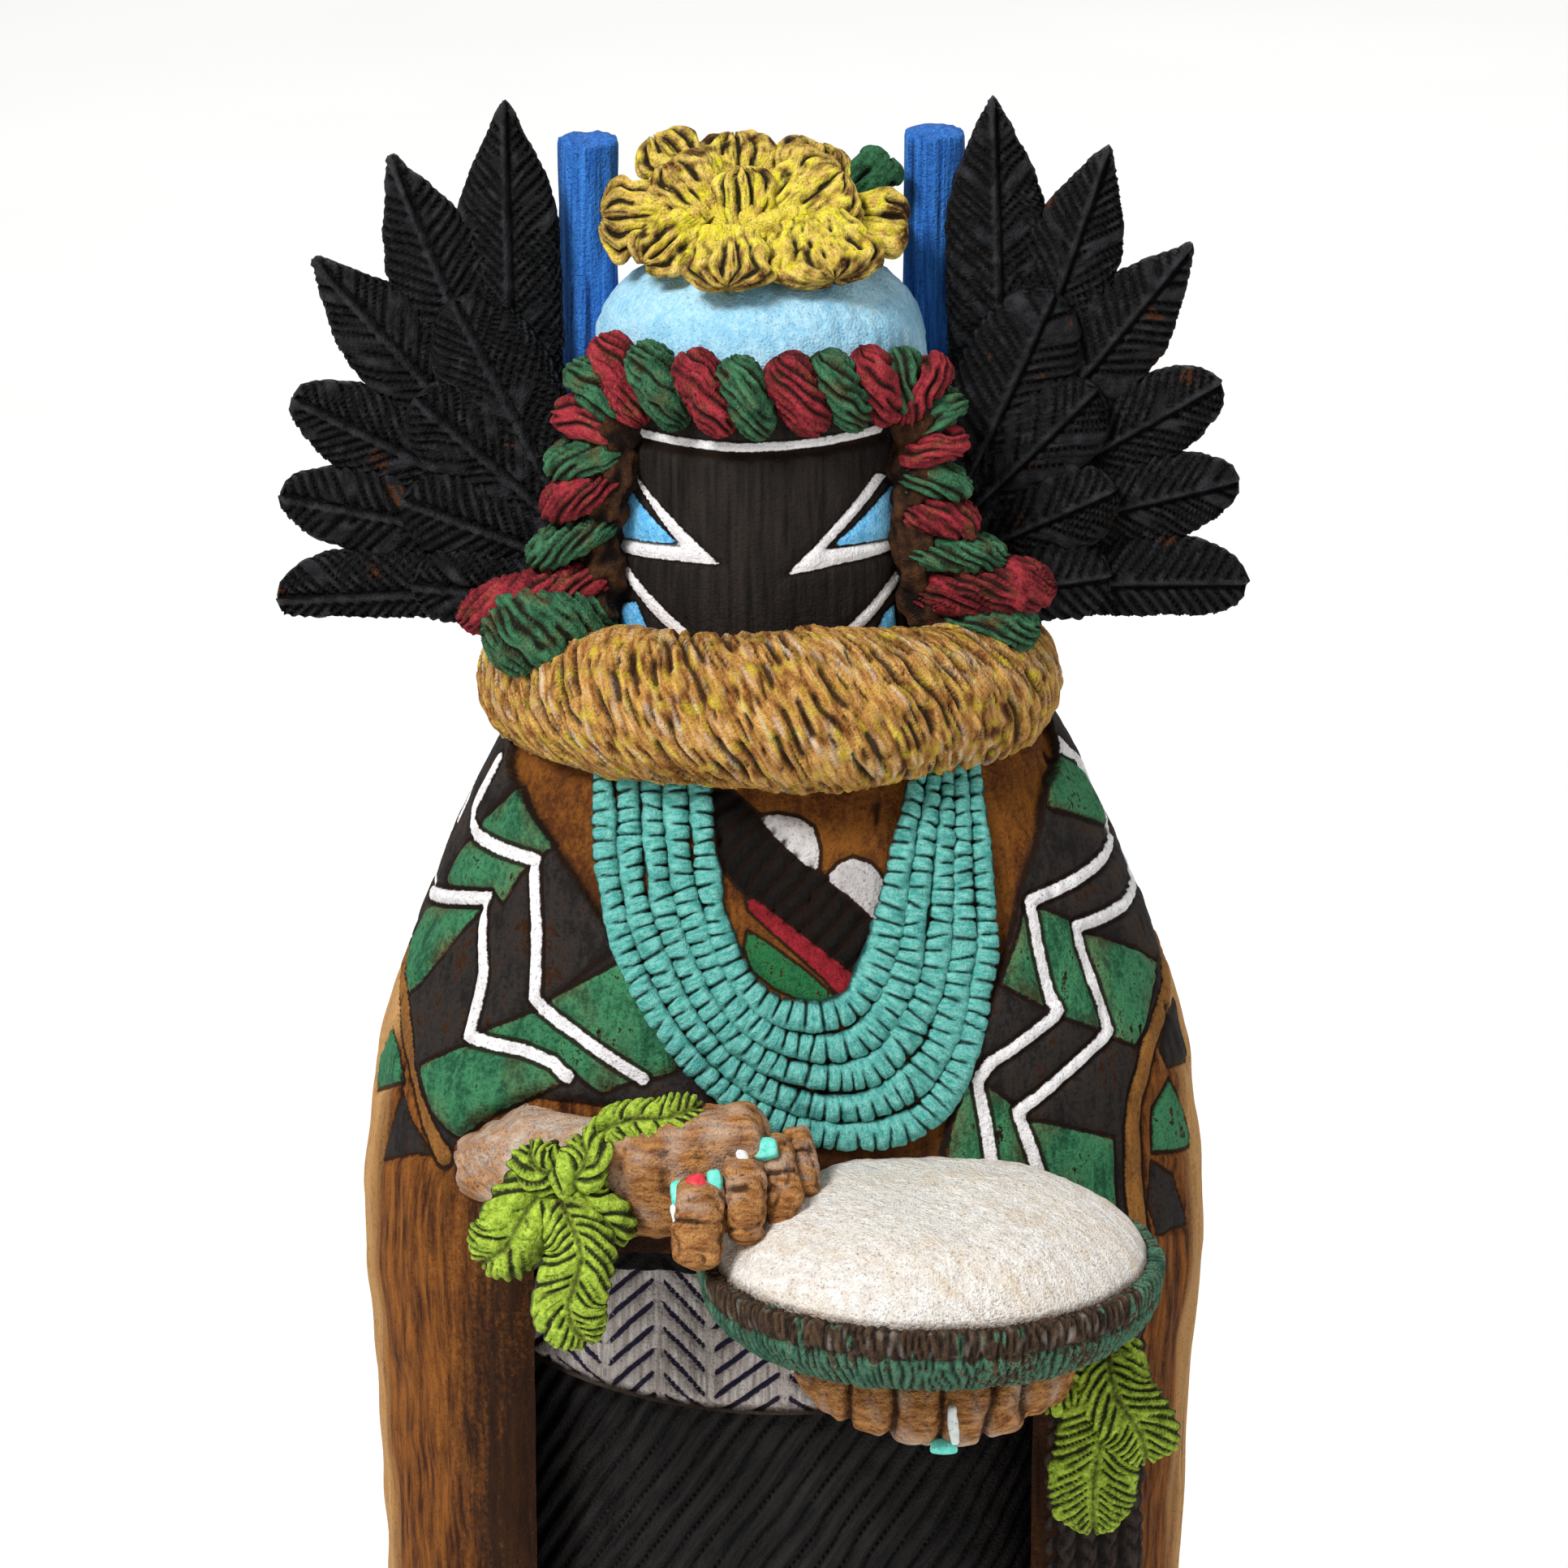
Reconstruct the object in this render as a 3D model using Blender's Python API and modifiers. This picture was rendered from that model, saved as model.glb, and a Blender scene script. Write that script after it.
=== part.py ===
"""A carved and painted kachina doll of the Crow Mother kind, on a low oval base.

Metres, +Z up, the figure faces -Y. The origin is at the middle of the base's underside.
The figure is one carving: robe, dress, head, ruff, yarn wreath, necklaces, arms, basket and sprigs.
The two feather fans, the two head rods, the crown of petals and the base are pieces of their own.
"""

import math

import bmesh
import bpy
from mathutils import Matrix, Vector

MM = 0.001

# Gap left between two pieces that are glued or rest on each other.
GLUE_GAP = 0.3 * MM

# Base.
BASE_HALF_WIDTH = 52 * MM
BASE_HALF_DEPTH = 40 * MM
BASE_HEIGHT = 8 * MM
BASE_EDGE_ROUND = 1.5 * MM

# Robe: the outer block, which stands on the base and narrows to the neck.
ROBE_HEIGHT = 204 * MM
ROBE_HALF_WIDTH = 48.7 * MM
ROBE_HALF_DEPTH = 33.5 * MM
ROBE_THICKNESS = 1.4 * MM
SECTION_POWER = 2.3
ROBE_TOP = BASE_HEIGHT + ROBE_HEIGHT

# Height, half width and half depth of the robe, each as a share of its own largest size.
ROBE_PROFILE = (
    (0.000, 0.905, 0.925),
    (0.310, 0.935, 0.955),
    (0.565, 0.971, 0.985),
    (0.660, 1.000, 1.000),
    (0.735, 0.976, 0.968),
    (0.795, 0.926, 0.924),
    (0.860, 0.826, 0.851),
    (0.921, 0.715, 0.746),
    (0.962, 0.618, 0.650),
    (1.000, 0.480, 0.552),
)

# Everything carved above the dress's hem keeps its height from the top of the robe.


def from_top(x, y, z):
    """A point given in millimetres, its height measured from the top of the robe."""
    return Vector((x * MM, y * MM, ROBE_TOP + z * MM))


# Front of the robe: the recess that shows the dress, and the neck opening that shows the chest.
RECESS_HALF_WIDTH = 29.0 * MM
RECESS_TOP = ROBE_TOP - 64 * MM
RECESS_BACK = 9 * MM
NECK_OPENING = (
    (-32.5, -9.0),
    (-29.6, -14.0),
    (-24.2, -21.0),
    (-17.8, -31.0),
    (-10.5, -42.0),
    (-6.0, -52.0),
    (6.0, -60.0),
    (17.0, -58.0),
    (19.4, -50.5),
    (22.6, -39.0),
    (25.4, -30.5),
    (27.7, -21.5),
    (31.7, -12.0),
    (31.7, -2.0),
    (-32.5, -2.0),
)

# Dress, overskirt and boots, inside the recess.
DRESS_HALF_WIDTH = 34 * MM
DRESS_HALF_DEPTH = 25 * MM
DRESS_HEM = 18 * MM
DRESS_TOP = ROBE_TOP - 52 * MM
OVERSKIRT_DEPTH = 2.4 * MM
OVERSKIRT_TOP = ROBE_TOP - 66 * MM
OVERSKIRT_HEM_MIDDLE = ROBE_TOP - 84.5 * MM
OVERSKIRT_HEM_RISE = 7 * MM
DRESS_RIBS = 39
RIB_DEPTH = 1.0 * MM
RIB_LEAN = math.radians(55)
BOOT_LENGTH = 23 * MM
BOOT_WIDTH = 14 * MM
BOOT_HEIGHT = 11 * MM
BOOT_SPREAD = 9 * MM

# Head: a case mask with a domed top.
HEAD_X = -2.6 * MM
HEAD_Y = -1 * MM
HEAD_RADIUS = 18.8 * MM
HEAD_BOTTOM = ROBE_TOP - 16 * MM
HEAD_SHOULDER = ROBE_TOP + 31 * MM
HEAD_TOP = ROBE_TOP + 46 * MM
DOME_POWER = 3.0

# Ruff: a thick ring round the neck.
RUFF_CENTRE = from_top(-1.2, -1.5, -4.6)
RUFF_HALF_WIDTH = 33.3 * MM
RUFF_HALF_DEPTH = 31 * MM
RUFF_THICKNESS = 17.4 * MM
RUFF_TILT = math.radians(-3.5)

# Yarn wreath that frames the face. Each lobe of the twist: across and up at its outer end and at
# its inner end, and its half width, from the figure's right side over the forehead to its left.
WREATH_LOBES = (
    ((-33.4, 2.7), (-18.9, 5.5), 4.3),
    ((-36.6, 4.4), (-18.9, 9.9), 2.7),
    ((-28.4, 11.5), (-18.8, 15.9), 2.1),
    ((-26.5, 17.3), (-17.7, 21.2), 2.3),
    ((-25.8, 22.4), (-17.7, 23.8), 2.3),
    ((-24.8, 28.6), (-18.3, 25.1), 2.2),
    ((-23.2, 33.6), (-18.3, 27.0), 2.2),
    ((-20.0, 36.4), (-15.8, 27.5), 2.7),
    ((-15.9, 36.4), (-11.5, 27.6), 2.7),
    ((-10.8, 36.3), (-6.3, 27.4), 2.7),
    ((-5.9, 36.0), (-2.3, 27.3), 2.6),
    ((-0.7, 36.3), (3.7, 27.7), 2.9),
    ((3.9, 36.5), (8.4, 28.0), 2.6),
    ((8.4, 36.6), (11.6, 28.2), 2.4),
    ((13.2, 35.7), (13.2, 28.5), 2.0),
    ((17.5, 34.1), (12.8, 27.0), 2.2),
    ((19.5, 30.0), (14.4, 25.4), 1.9),
    ((19.5, 25.4), (12.8, 22.8), 2.0),
    ((19.8, 20.1), (12.8, 20.8), 2.1),
    ((21.1, 15.5), (12.8, 17.5), 2.5),
    ((24.8, 11.8), (13.3, 12.5), 2.1),
    ((30.5, 8.3), (13.8, 7.5), 3.2),
    ((28.7, 3.6), (16.0, 2.9), 3.0),
)
WREATH_LOBE_DEPTH = 4.2 * MM
WREATH_STAND_OFF = 0.8 * MM
WREATH_SIDE_Y = -11 * MM

# Head rods, let into sockets behind the fans.
ROD_RADIUS = 3.5 * MM
ROD_SPREAD = 19.6 * MM
ROD_Y = 6.8 * MM
ROD_FOOT = ROBE_TOP - 3 * MM
RIGHT_ROD_TOP = HEAD_TOP + 8.6 * MM
LEFT_ROD_TOP = HEAD_TOP + 10.0 * MM
ROD_TOP_SLANT = 0.12

# Crown of petals on the dome.
CROWN_CENTRE = Vector((-3.2 * MM, -3.0 * MM, HEAD_TOP + 1.6 * MM))
CROWN_BOSS_RADIUS = 6.0 * MM
PETAL_THICKNESS = 3.0 * MM
PETAL_DROOP = 0.10
PETALS_IN_TIER = (6, 6, 4)
# Each tier of petals: first angle and rise in degrees, length and half width in millimetres.
CROWN_TIERS = (
    (-87, -6, 17.6, 5.9),
    (-59, 20, 17.6, 5.9),
    (-76, 47, 14.6, 5.7),
)

# Feather fans. Each feather: out from the head's axis and up, at its root and at its tip, and
# its half width. The left fan (the figure's own left) is turned up a little about its root.
BACK_FEATHERS = (
    ((28.0, 14.0), (28.8, 61.6), 6.1),
    ((26.0, 16.0), (41.6, 55.0), 5.9),
    ((24.0, 14.0), (50.4, 43.4), 5.7),
    ((22.0, 12.0), (53.2, 27.8), 5.3),
    ((22.0, 10.0), (54.9, 16.4), 5.1),
    ((22.0, 6.0), (55.5, 4.4), 5.6),
)
FRONT_FEATHERS = (
    ((20.0, 12.0), (34.6, 39.2), 6.4),
    ((18.0, 12.0), (39.0, 28.2), 5.8),
    ((18.0, 9.0), (40.6, 16.6), 5.3),
    ((18.0, 5.0), (39.6, 6.8), 5.0),
)
FEATHER_THICKNESS = 2.6 * MM
FRONT_FEATHER_RISE = 1.0 * MM
FEATHER_STEP = 0.12 * MM
# Half width of a feather along its length, as a share of the full half width.
FEATHER_PROFILE = ((0.0, 0.70), (0.35, 1.0), (0.72, 1.0), (0.86, 0.68), (1.0, 0.08))
FAN_INNER_EDGE = HEAD_RADIUS + GLUE_GAP
FAN_LEFT_TURN = math.radians(3)
FAN_PIVOT_RISE = 10 * MM
FAN_BOTTOM = ROBE_TOP + 2.6 * MM
FAN_RUFF_NOTCH = 31.5 * MM
FAN_NOTCH_TOP = ROBE_TOP + 4.9 * MM

# Necklaces: strands that hang between these two curves, given as across and up.
NECKLACE_STRANDS = 5
NECKLACE_RADIUS = 1.9 * MM
NECKLACE_OUTER = (
    (-20.4, -10.0),
    (-19.6, -22.0),
    (-16.6, -32.5),
    (-9.6, -42.8),
    (-0.5, -48.8),
    (9.0, -50.4),
    (16.0, -48.0),
    (20.2, -41.5),
    (22.2, -32.0),
    (22.3, -21.0),
    (21.2, -10.0),
)
NECKLACE_INNER = (
    (-9.6, -10.0),
    (-8.8, -20.0),
    (-7.0, -28.0),
    (-4.4, -33.4),
    (-0.6, -36.4),
    (4.4, -37.1),
    (8.4, -35.2),
    (10.9, -30.0),
    (12.4, -23.5),
    (13.8, -16.5),
    (15.2, -10.0),
)

# Basket of heaped meal, held in front of the waist and tipped a little forward.
BASKET_CENTRE = from_top(16.3, -42.0, -62.6)
BASKET_HALF_WIDTH = 25.8 * MM
BASKET_HALF_DEPTH = 22.0 * MM
BASKET_TILT = math.radians(6)
# The basket from its middle underneath to its middle on top: share of the half width, and height.
BASKET_PROFILE = (
    (0.06, -8.0),
    (0.62, -8.0),
    (0.83, -6.6),
    (0.97, -3.4),
    (1.00, -0.4),
    (0.96, 0.2),
    (0.92, 0.8),
    (0.74, 4.8),
    (0.48, 7.4),
    (0.22, 8.6),
    (0.05, 8.8),
)

# Arms and hands. The right hand is laid over the basket's edge, the left one is held under it.
RIGHT_ELBOW = from_top(-34.0, -23.0, -54.8)
RIGHT_WRIST = from_top(-19.0, -37.0, -54.2)
RIGHT_KNUCKLES = (from_top(-9.6, -46.0, -52.4), from_top(0.2, -35.0, -49.6))
RIGHT_CURL = (Vector((-0.4, -3.0, -8.6)) * MM, Vector((3.0, -3.6, -6.6)) * MM)
LEFT_ELBOW = from_top(41.0, -19.0, -71.0)
LEFT_WRIST = from_top(28.0, -35.0, -74.0)
LEFT_PALM = from_top(17.5, -47.5, -76.2)
LEFT_FINGER_REACH = Vector((-14.5, 0.0, 3.0)) * MM
FOREARM_RADIUS = 6.6 * MM
WRIST_RADIUS = 5.7 * MM
HAND_HALF_WIDTH = 7.4 * MM
HAND_HALF_THICKNESS = 3.8 * MM
FINGER_RADIUS = 2.3 * MM
LEAF_THICKNESS = 4.2 * MM

# Each leaf of the sprigs tied to the wrists: root, tip and half width.
RIGHT_SPRIG = (
    ((-21.0, -37.0, -49.4), (-9.4, -39.5, -44.6), 2.4),
    ((-24.6, -38.5, -53.5), (-26.8, -40.5, -47.0), 3.0),
    ((-20.6, -40.0, -52.5), (-21.4, -41.0, -46.4), 2.7),
    ((-25.8, -38.5, -53.0), (-32.6, -41.0, -63.8), 4.7),
    ((-24.8, -39.5, -54.0), (-24.4, -42.5, -71.6), 4.9),
    ((-21.6, -40.5, -52.0), (-17.6, -42.0, -60.0), 3.5),
)
LEFT_SPRIG = (
    ((35.4, -35.5, -72.5), (35.2, -38.0, -94.8), 6.2),
    ((38.2, -34.5, -74.0), (41.4, -36.0, -87.0), 4.2),
    ((35.0, -35.5, -74.0), (28.6, -38.5, -80.6), 3.1),
    ((35.0, -31.0, -67.4), (36.4, -35.5, -78.0), 2.0),
)

# Fringed end of the sash, down the robe's front beside the recess.
SASH_TOP = ROBE_TOP - 71 * MM
SASH_BOTTOM = 62 * MM
SASH_X = 35.6 * MM
SASH_HALF_WIDTH = 6.2 * MM
SASH_HALF_THICKNESS = 2.2 * MM
FRONT = Vector((0, -1, 0))


def clear_scene():
    for old in list(bpy.data.objects):
        bpy.data.objects.remove(old, do_unlink=True)


def new_collection(name):
    made = bpy.data.collections.new(name)
    bpy.context.scene.collection.children.link(made)
    return made


def painted(name, colour, roughness):
    """A matte painted or stained wood finish."""
    material = bpy.data.materials.new(name)
    material.use_nodes = True
    shader = material.node_tree.nodes["Principled BSDF"]
    shader.inputs["Base Color"].default_value = (*colour, 1)
    shader.inputs["Roughness"].default_value = roughness
    shader.inputs["Metallic"].default_value = 0
    material.diffuse_color = (*colour, 1)
    return material


def add_object(name, form, collection, material):
    """Puts a bmesh in the scene as an object with outward faces."""
    bmesh.ops.recalc_face_normals(form, faces=form.faces)
    if form.calc_volume(signed=True) < 0:
        bmesh.ops.reverse_faces(form, faces=form.faces)
    mesh = bpy.data.meshes.new(name)
    form.to_mesh(mesh)
    form.free()
    mesh.materials.append(material)
    made = bpy.data.objects.new(name, mesh)
    collection.objects.link(made)
    return made


def add_helper(name, form, collection, material):
    """A form that a Boolean joins or cuts, and that isn't a node itself."""
    made = add_object(name, form, collection, material)
    made.hide_render = True
    made.display_type = "WIRE"
    return made


def boolean(target, operation, collection):
    modifier = target.modifiers.new(operation.title(), "BOOLEAN")
    modifier.operation = operation
    modifier.operand_type = "COLLECTION"
    modifier.collection = collection
    modifier.solver = "EXACT"


def column(sides, rings, place):
    """A cylinder whose points are moved to place(share of its length, angle)."""
    form = bmesh.new()
    bmesh.ops.create_cone(form, cap_ends=True, segments=sides, radius1=1, radius2=1, depth=1)
    uprights = [e for e in form.edges if abs(e.verts[0].co.z - e.verts[1].co.z) > 0.5]
    if rings > 2:
        bmesh.ops.subdivide_edges(form, edges=uprights, cuts=rings - 2)
    for vert in form.verts:
        share = vert.co.z + 0.5
        vert.co = place(share, math.atan2(vert.co.y, vert.co.x))
    return form


def ellipsoid(centre, sizes, turn, sides=8, rings=5):
    """A ball scaled to three half sizes, turned and placed."""
    form = bmesh.new()
    matrix = Matrix.Translation(centre) @ turn @ Matrix.Diagonal((*sizes, 1))
    bmesh.ops.create_uvsphere(form, u_segments=sides, v_segments=rings, radius=1, matrix=matrix)
    return form


def interpolate(rows, key):
    """The values that follow the first one in rows, read at key."""
    if key <= rows[0][0]:
        return rows[0][1:]
    for low, high in zip(rows, rows[1:]):
        if key <= high[0]:
            share = (key - low[0]) / (high[0] - low[0])
            return tuple(a + (b - a) * share for a, b in zip(low[1:], high[1:]))
    return rows[-1][1:]


def smooth_path(points, count):
    """Points at even steps of a smooth curve through the given ones."""
    points = [Vector(p) for p in points]
    last = len(points) - 1
    dense = []
    steps = 12
    for i in range(last):
        a, b = points[max(i - 1, 0)], points[i]
        c, d = points[i + 1], points[min(i + 2, last)]
        for k in range(steps):
            t = k / steps
            dense.append(
                0.5 * (2 * b + (c - a) * t + (2 * a - 5 * b + 4 * c - d) * t**2
                       + (3 * b - a - 3 * c + d) * t**3)
            )
    dense.append(points[-1])
    reach = [0.0]
    for a, b in zip(dense, dense[1:]):
        reach.append(reach[-1] + (b - a).length)
    rows = [(r, *p) for r, p in zip(reach, dense)]
    return [Vector(interpolate(rows, reach[-1] * k / (count - 1))) for k in range(count)]


def aim(direction, towards):
    """A rotation whose Z lies along direction and whose X is nearest to towards."""
    z = direction.normalized()
    y = z.cross(towards).normalized()
    x = y.cross(z)
    return Matrix((x, y, z)).transposed().to_4x4()


def robe_size(height):
    """Half width and half depth of the robe at a height above the base's underside."""
    share = (height - BASE_HEIGHT) / ROBE_HEIGHT
    width, depth = interpolate(ROBE_PROFILE, share)
    return width * ROBE_HALF_WIDTH, depth * ROBE_HALF_DEPTH


def section_point(half_width, half_depth, angle, height):
    """A point of the rounded section that the robe and the dress share."""
    c, s = math.cos(angle), math.sin(angle)
    reach = (abs(c) ** SECTION_POWER + abs(s) ** SECTION_POWER) ** (-1 / SECTION_POWER)
    return Vector((half_width * reach * c, half_depth * reach * s, height))


def front_of(half_width, half_depth, x):
    """Y of the section's front at a distance across."""
    share = min(abs(x) / half_width, 0.98)
    return -half_depth * (1 - share**SECTION_POWER) ** (1 / SECTION_POWER)


def chest_front(x, height):
    """Y of the chest under the necklaces and the robe."""
    width, depth = robe_size(height)
    return front_of(width - ROBE_THICKNESS, depth - ROBE_THICKNESS, x)


def dress_size(height):
    """Half width and half depth of the body inside the robe."""
    width, depth = robe_size(height)
    chest = (width - ROBE_THICKNESS, depth - ROBE_THICKNESS)
    skirt = (DRESS_HALF_WIDTH, DRESS_HALF_DEPTH)
    waist = OVERSKIRT_TOP
    share = min(max((height - waist) / (DRESS_TOP - waist), 0), 1)
    return tuple(a + (b - a) * share for a, b in zip(skirt, chest))


def robe_form():
    foot = GLUE_GAP / ROBE_HEIGHT
    last = len(ROBE_PROFILE) - 1

    def place(share, angle):
        height = BASE_HEIGHT + max(ROBE_PROFILE[round(share * last)][0], foot) * ROBE_HEIGHT
        return section_point(*robe_size(height), angle, height)

    return column(34, last + 1, place)


def prism(outline, front, back):
    """A closed prism along Y from an outline given as across and up."""
    form = bmesh.new()
    ring = [form.verts.new((x, front, z)) for x, z in outline]
    face = form.faces.new(ring)
    swept = bmesh.ops.extrude_face_region(form, geom=[face])["geom"]
    moved = [g for g in swept if isinstance(g, bmesh.types.BMVert)]
    bmesh.ops.translate(form, verts=moved, vec=(0, back - front, 0))
    return form


def cut_robe(cutters, material):
    """The recess in front of the dress, the neck opening and the rod sockets."""
    front = -2 * ROBE_HALF_DEPTH
    below = BASE_HEIGHT - BASE_EDGE_ROUND
    half = RECESS_HALF_WIDTH
    recess = [(-half, below), (half, below), (half, RECESS_TOP), (-half, RECESS_TOP)]
    add_helper("recess_cutter", prism(recess, front, -RECESS_BACK), cutters, material)
    neck = [(x * MM, ROBE_TOP + z * MM) for x, z in NECK_OPENING]
    add_helper("neck_cutter", prism(neck, front, 0), cutters, material)


def rod_axis(side):
    return Vector((HEAD_X + side * ROD_SPREAD, ROD_Y, 0))


def rod_form(side, radius, bottom, top, slant):
    axis = rod_axis(side)

    def place(share, angle):
        x, y = radius * math.cos(angle), radius * math.sin(angle)
        height = bottom + share * (top - bottom) + slant * share * y
        return axis + Vector((x, y, height))

    return column(14, 2, place)


def body_form():
    """The trunk under the overskirt, the robe and the necklaces."""
    chest = [BASE_HEIGHT + row[0] * ROBE_HEIGHT for row in ROBE_PROFILE]
    low = OVERSKIRT_HEM_MIDDLE + OVERSKIRT_HEM_RISE + 2 * MM
    rows = [low, OVERSKIRT_TOP, DRESS_TOP, *[h for h in chest if h > DRESS_TOP + 6 * MM]]
    rows[-1] -= 2 * MM

    def place(share, angle):
        height = rows[round(share * (len(rows) - 1))]
        return section_point(*dress_size(height), angle, height)

    return column(28, len(rows), place)


def dress_form():
    """The black dress: a column with carved ribs that wind up to the figure's left."""
    top = OVERSKIRT_TOP - 4 * MM
    twist = (top - DRESS_HEM) / math.tan(RIB_LEAN) / DRESS_HALF_DEPTH

    def place(share, angle):
        height = DRESS_HEM + share * (top - DRESS_HEM)
        step = round(angle / math.tau * 2 * DRESS_RIBS) % 2
        width = DRESS_HALF_WIDTH + RIB_DEPTH * (0.5 - step)
        depth = DRESS_HALF_DEPTH + RIB_DEPTH * (0.5 - step)
        return section_point(width, depth, angle + twist * share, height)

    return column(2 * DRESS_RIBS, 11, place)


def overskirt_form():
    """The white overskirt: a thicker band whose hem sags in front."""
    def place(share, angle):
        hem = OVERSKIRT_HEM_MIDDLE + OVERSKIRT_HEM_RISE * abs(math.cos(angle)) ** 2
        height = hem + share * (OVERSKIRT_TOP - hem)
        width = DRESS_HALF_WIDTH + OVERSKIRT_DEPTH
        depth = DRESS_HALF_DEPTH + OVERSKIRT_DEPTH
        return section_point(width, depth, angle, height)

    return column(30, 2, place)


def tube(path, radius, sides=6, flatten=1.0):
    """A tube along a list of points, thinner from front to back where flattened."""
    last = len(path) - 1

    def place(share, angle):
        k = round(share * last)
        along = path[min(k + 1, last)] - path[max(k - 1, 0)]
        turn = aim(along, Vector((0, -1, 0)))
        offset = Vector((flatten * radius * math.cos(angle), radius * math.sin(angle), 0))
        return path[k] + turn @ offset

    return column(sides, last + 1, place)


def boot_form(side):
    width, depth = DRESS_HALF_WIDTH, DRESS_HALF_DEPTH
    toe = front_of(width, depth, BOOT_SPREAD) - 2 * MM
    centre = Vector((side * BOOT_SPREAD, toe + BOOT_LENGTH / 2, BASE_HEIGHT + GLUE_GAP))
    form = ellipsoid(centre, (BOOT_WIDTH / 2, BOOT_LENGTH / 2, BOOT_HEIGHT), Matrix(), 10, 6)
    sole = bmesh.ops.bisect_plane(
        form, geom=form.verts[:] + form.edges[:] + form.faces[:],
        plane_co=centre, plane_no=(0, 0, -1), clear_outer=True,
    )
    edges = [g for g in sole["geom_cut"] if isinstance(g, bmesh.types.BMEdge)]
    bmesh.ops.edgeloop_fill(form, edges=edges)
    return form


def head_form(gap=0):
    """The case mask: a drum with a domed top, grown by a gap where it serves as a cutter."""
    rows = (0, 0.74, 0.82, 0.88, 0.93, 0.97, 1)
    drum = (HEAD_SHOULDER - HEAD_BOTTOM) / (HEAD_TOP - HEAD_BOTTOM)

    def place(share, angle):
        part = rows[round(share * (len(rows) - 1))]
        height = HEAD_BOTTOM + part * (HEAD_TOP + gap - HEAD_BOTTOM)
        dome = max(part - drum, 0) / (1 - drum)
        radius = (HEAD_RADIUS + gap) * math.sqrt(max(1 - dome**DOME_POWER, 0.06))
        x, y = radius * math.cos(angle), radius * math.sin(angle)
        return Vector((HEAD_X + x, HEAD_Y + y, height))

    return column(22, len(rows), place)


def ruff_form():
    minor = RUFF_THICKNESS / 2
    bpy.ops.mesh.primitive_torus_add(
        major_segments=26, minor_segments=8, major_radius=1, minor_radius=0.25,
    )
    ring = bpy.context.object
    form = bmesh.new()
    form.from_mesh(ring.data)
    bpy.data.objects.remove(ring, do_unlink=True)
    turn = Matrix.Rotation(RUFF_TILT, 4, "X")
    for vert in form.verts:
        angle = math.atan2(vert.co.y, vert.co.x)
        out = (math.hypot(vert.co.x, vert.co.y) - 1) / 0.25
        reach = Vector((
            (RUFF_HALF_WIDTH - minor + minor * out) * math.cos(angle),
            (RUFF_HALF_DEPTH - minor + minor * out) * math.sin(angle),
            vert.co.z / 0.25 * minor,
        ))
        vert.co = RUFF_CENTRE + turn @ reach
    return form


def wreath_y(x):
    """Y of the wreath's middle, which lies on the head and hangs down past its sides."""
    radius = HEAD_RADIUS + WREATH_STAND_OFF
    across = min(abs(x - HEAD_X), radius)
    return min(HEAD_Y - math.sqrt(radius**2 - across**2), WREATH_SIDE_Y)


def wreath_lobes():
    """Outer end, inner end and half width of each lobe."""
    for outer, inner, half_width in WREATH_LOBES:
        ends = [from_top(x, 0, z) for x, z in (outer, inner)]
        for end in ends:
            end.y = wreath_y(end.x)
        yield *ends, half_width * MM


def wreath_forms():
    """The lobes, and the core that they are carved on."""
    middles = []
    for outer, inner, half_width in wreath_lobes():
        size = (WREATH_LOBE_DEPTH, half_width)
        trim = (outer - inner).normalized() * 0.4 * half_width
        yield limb(outer - trim, inner + trim, size, size, 6)
        middles.append((outer + inner) / 2)
    thinnest = min(row[2] for row in WREATH_LOBES) * MM
    yield tube(middles[::2], thinnest, 6)


def necklace_forms():
    count = 14
    outer = smooth_path([from_top(x, 0, z) for x, z in NECKLACE_OUTER], count)
    inner = smooth_path([from_top(x, 0, z) for x, z in NECKLACE_INNER], count)
    for k in range(NECKLACE_STRANDS):
        share = k / (NECKLACE_STRANDS - 1)
        path = []
        for a, b in zip(outer, inner):
            point = a.lerp(b, share)
            point.y = chest_front(point.x, point.z) + 0.2 * NECKLACE_RADIUS
            path.append(point)
        yield tube(path, NECKLACE_RADIUS, 5)


def basket_form():
    """Basket and heaped meal as one turned shape, narrower from front to back."""
    turn = Matrix.Rotation(BASKET_TILT, 4, "X")
    last = len(BASKET_PROFILE) - 1

    def place(share, angle):
        reach, height = BASKET_PROFILE[round(share * last)]
        x = reach * BASKET_HALF_WIDTH * math.cos(angle)
        y = reach * BASKET_HALF_DEPTH * math.sin(angle)
        return BASKET_CENTRE + turn @ Vector((x, y, height * MM))

    return column(24, last + 1, place)


def limb(start, end, sizes, end_sizes, sides=8, across=FRONT):
    """A tapering limb with rounded ends; sizes are its half sizes along across and square to it."""
    turn = aim(end - start, across)
    length = (end - start).length
    rows = (
        (-0.45 * min(sizes), 0.6, sizes),
        (0.2 * min(sizes), 1.0, sizes),
        (length - 0.2 * min(end_sizes), 1.0, end_sizes),
        (length + 0.45 * min(end_sizes), 0.6, end_sizes),
    )

    def place(share, angle):
        along, swell, size = rows[round(share * 3)]
        x = swell * size[0] * math.cos(angle)
        y = swell * size[1] * math.sin(angle)
        return start + turn @ Vector((x, y, along))

    return column(sides, 4, place)


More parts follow.
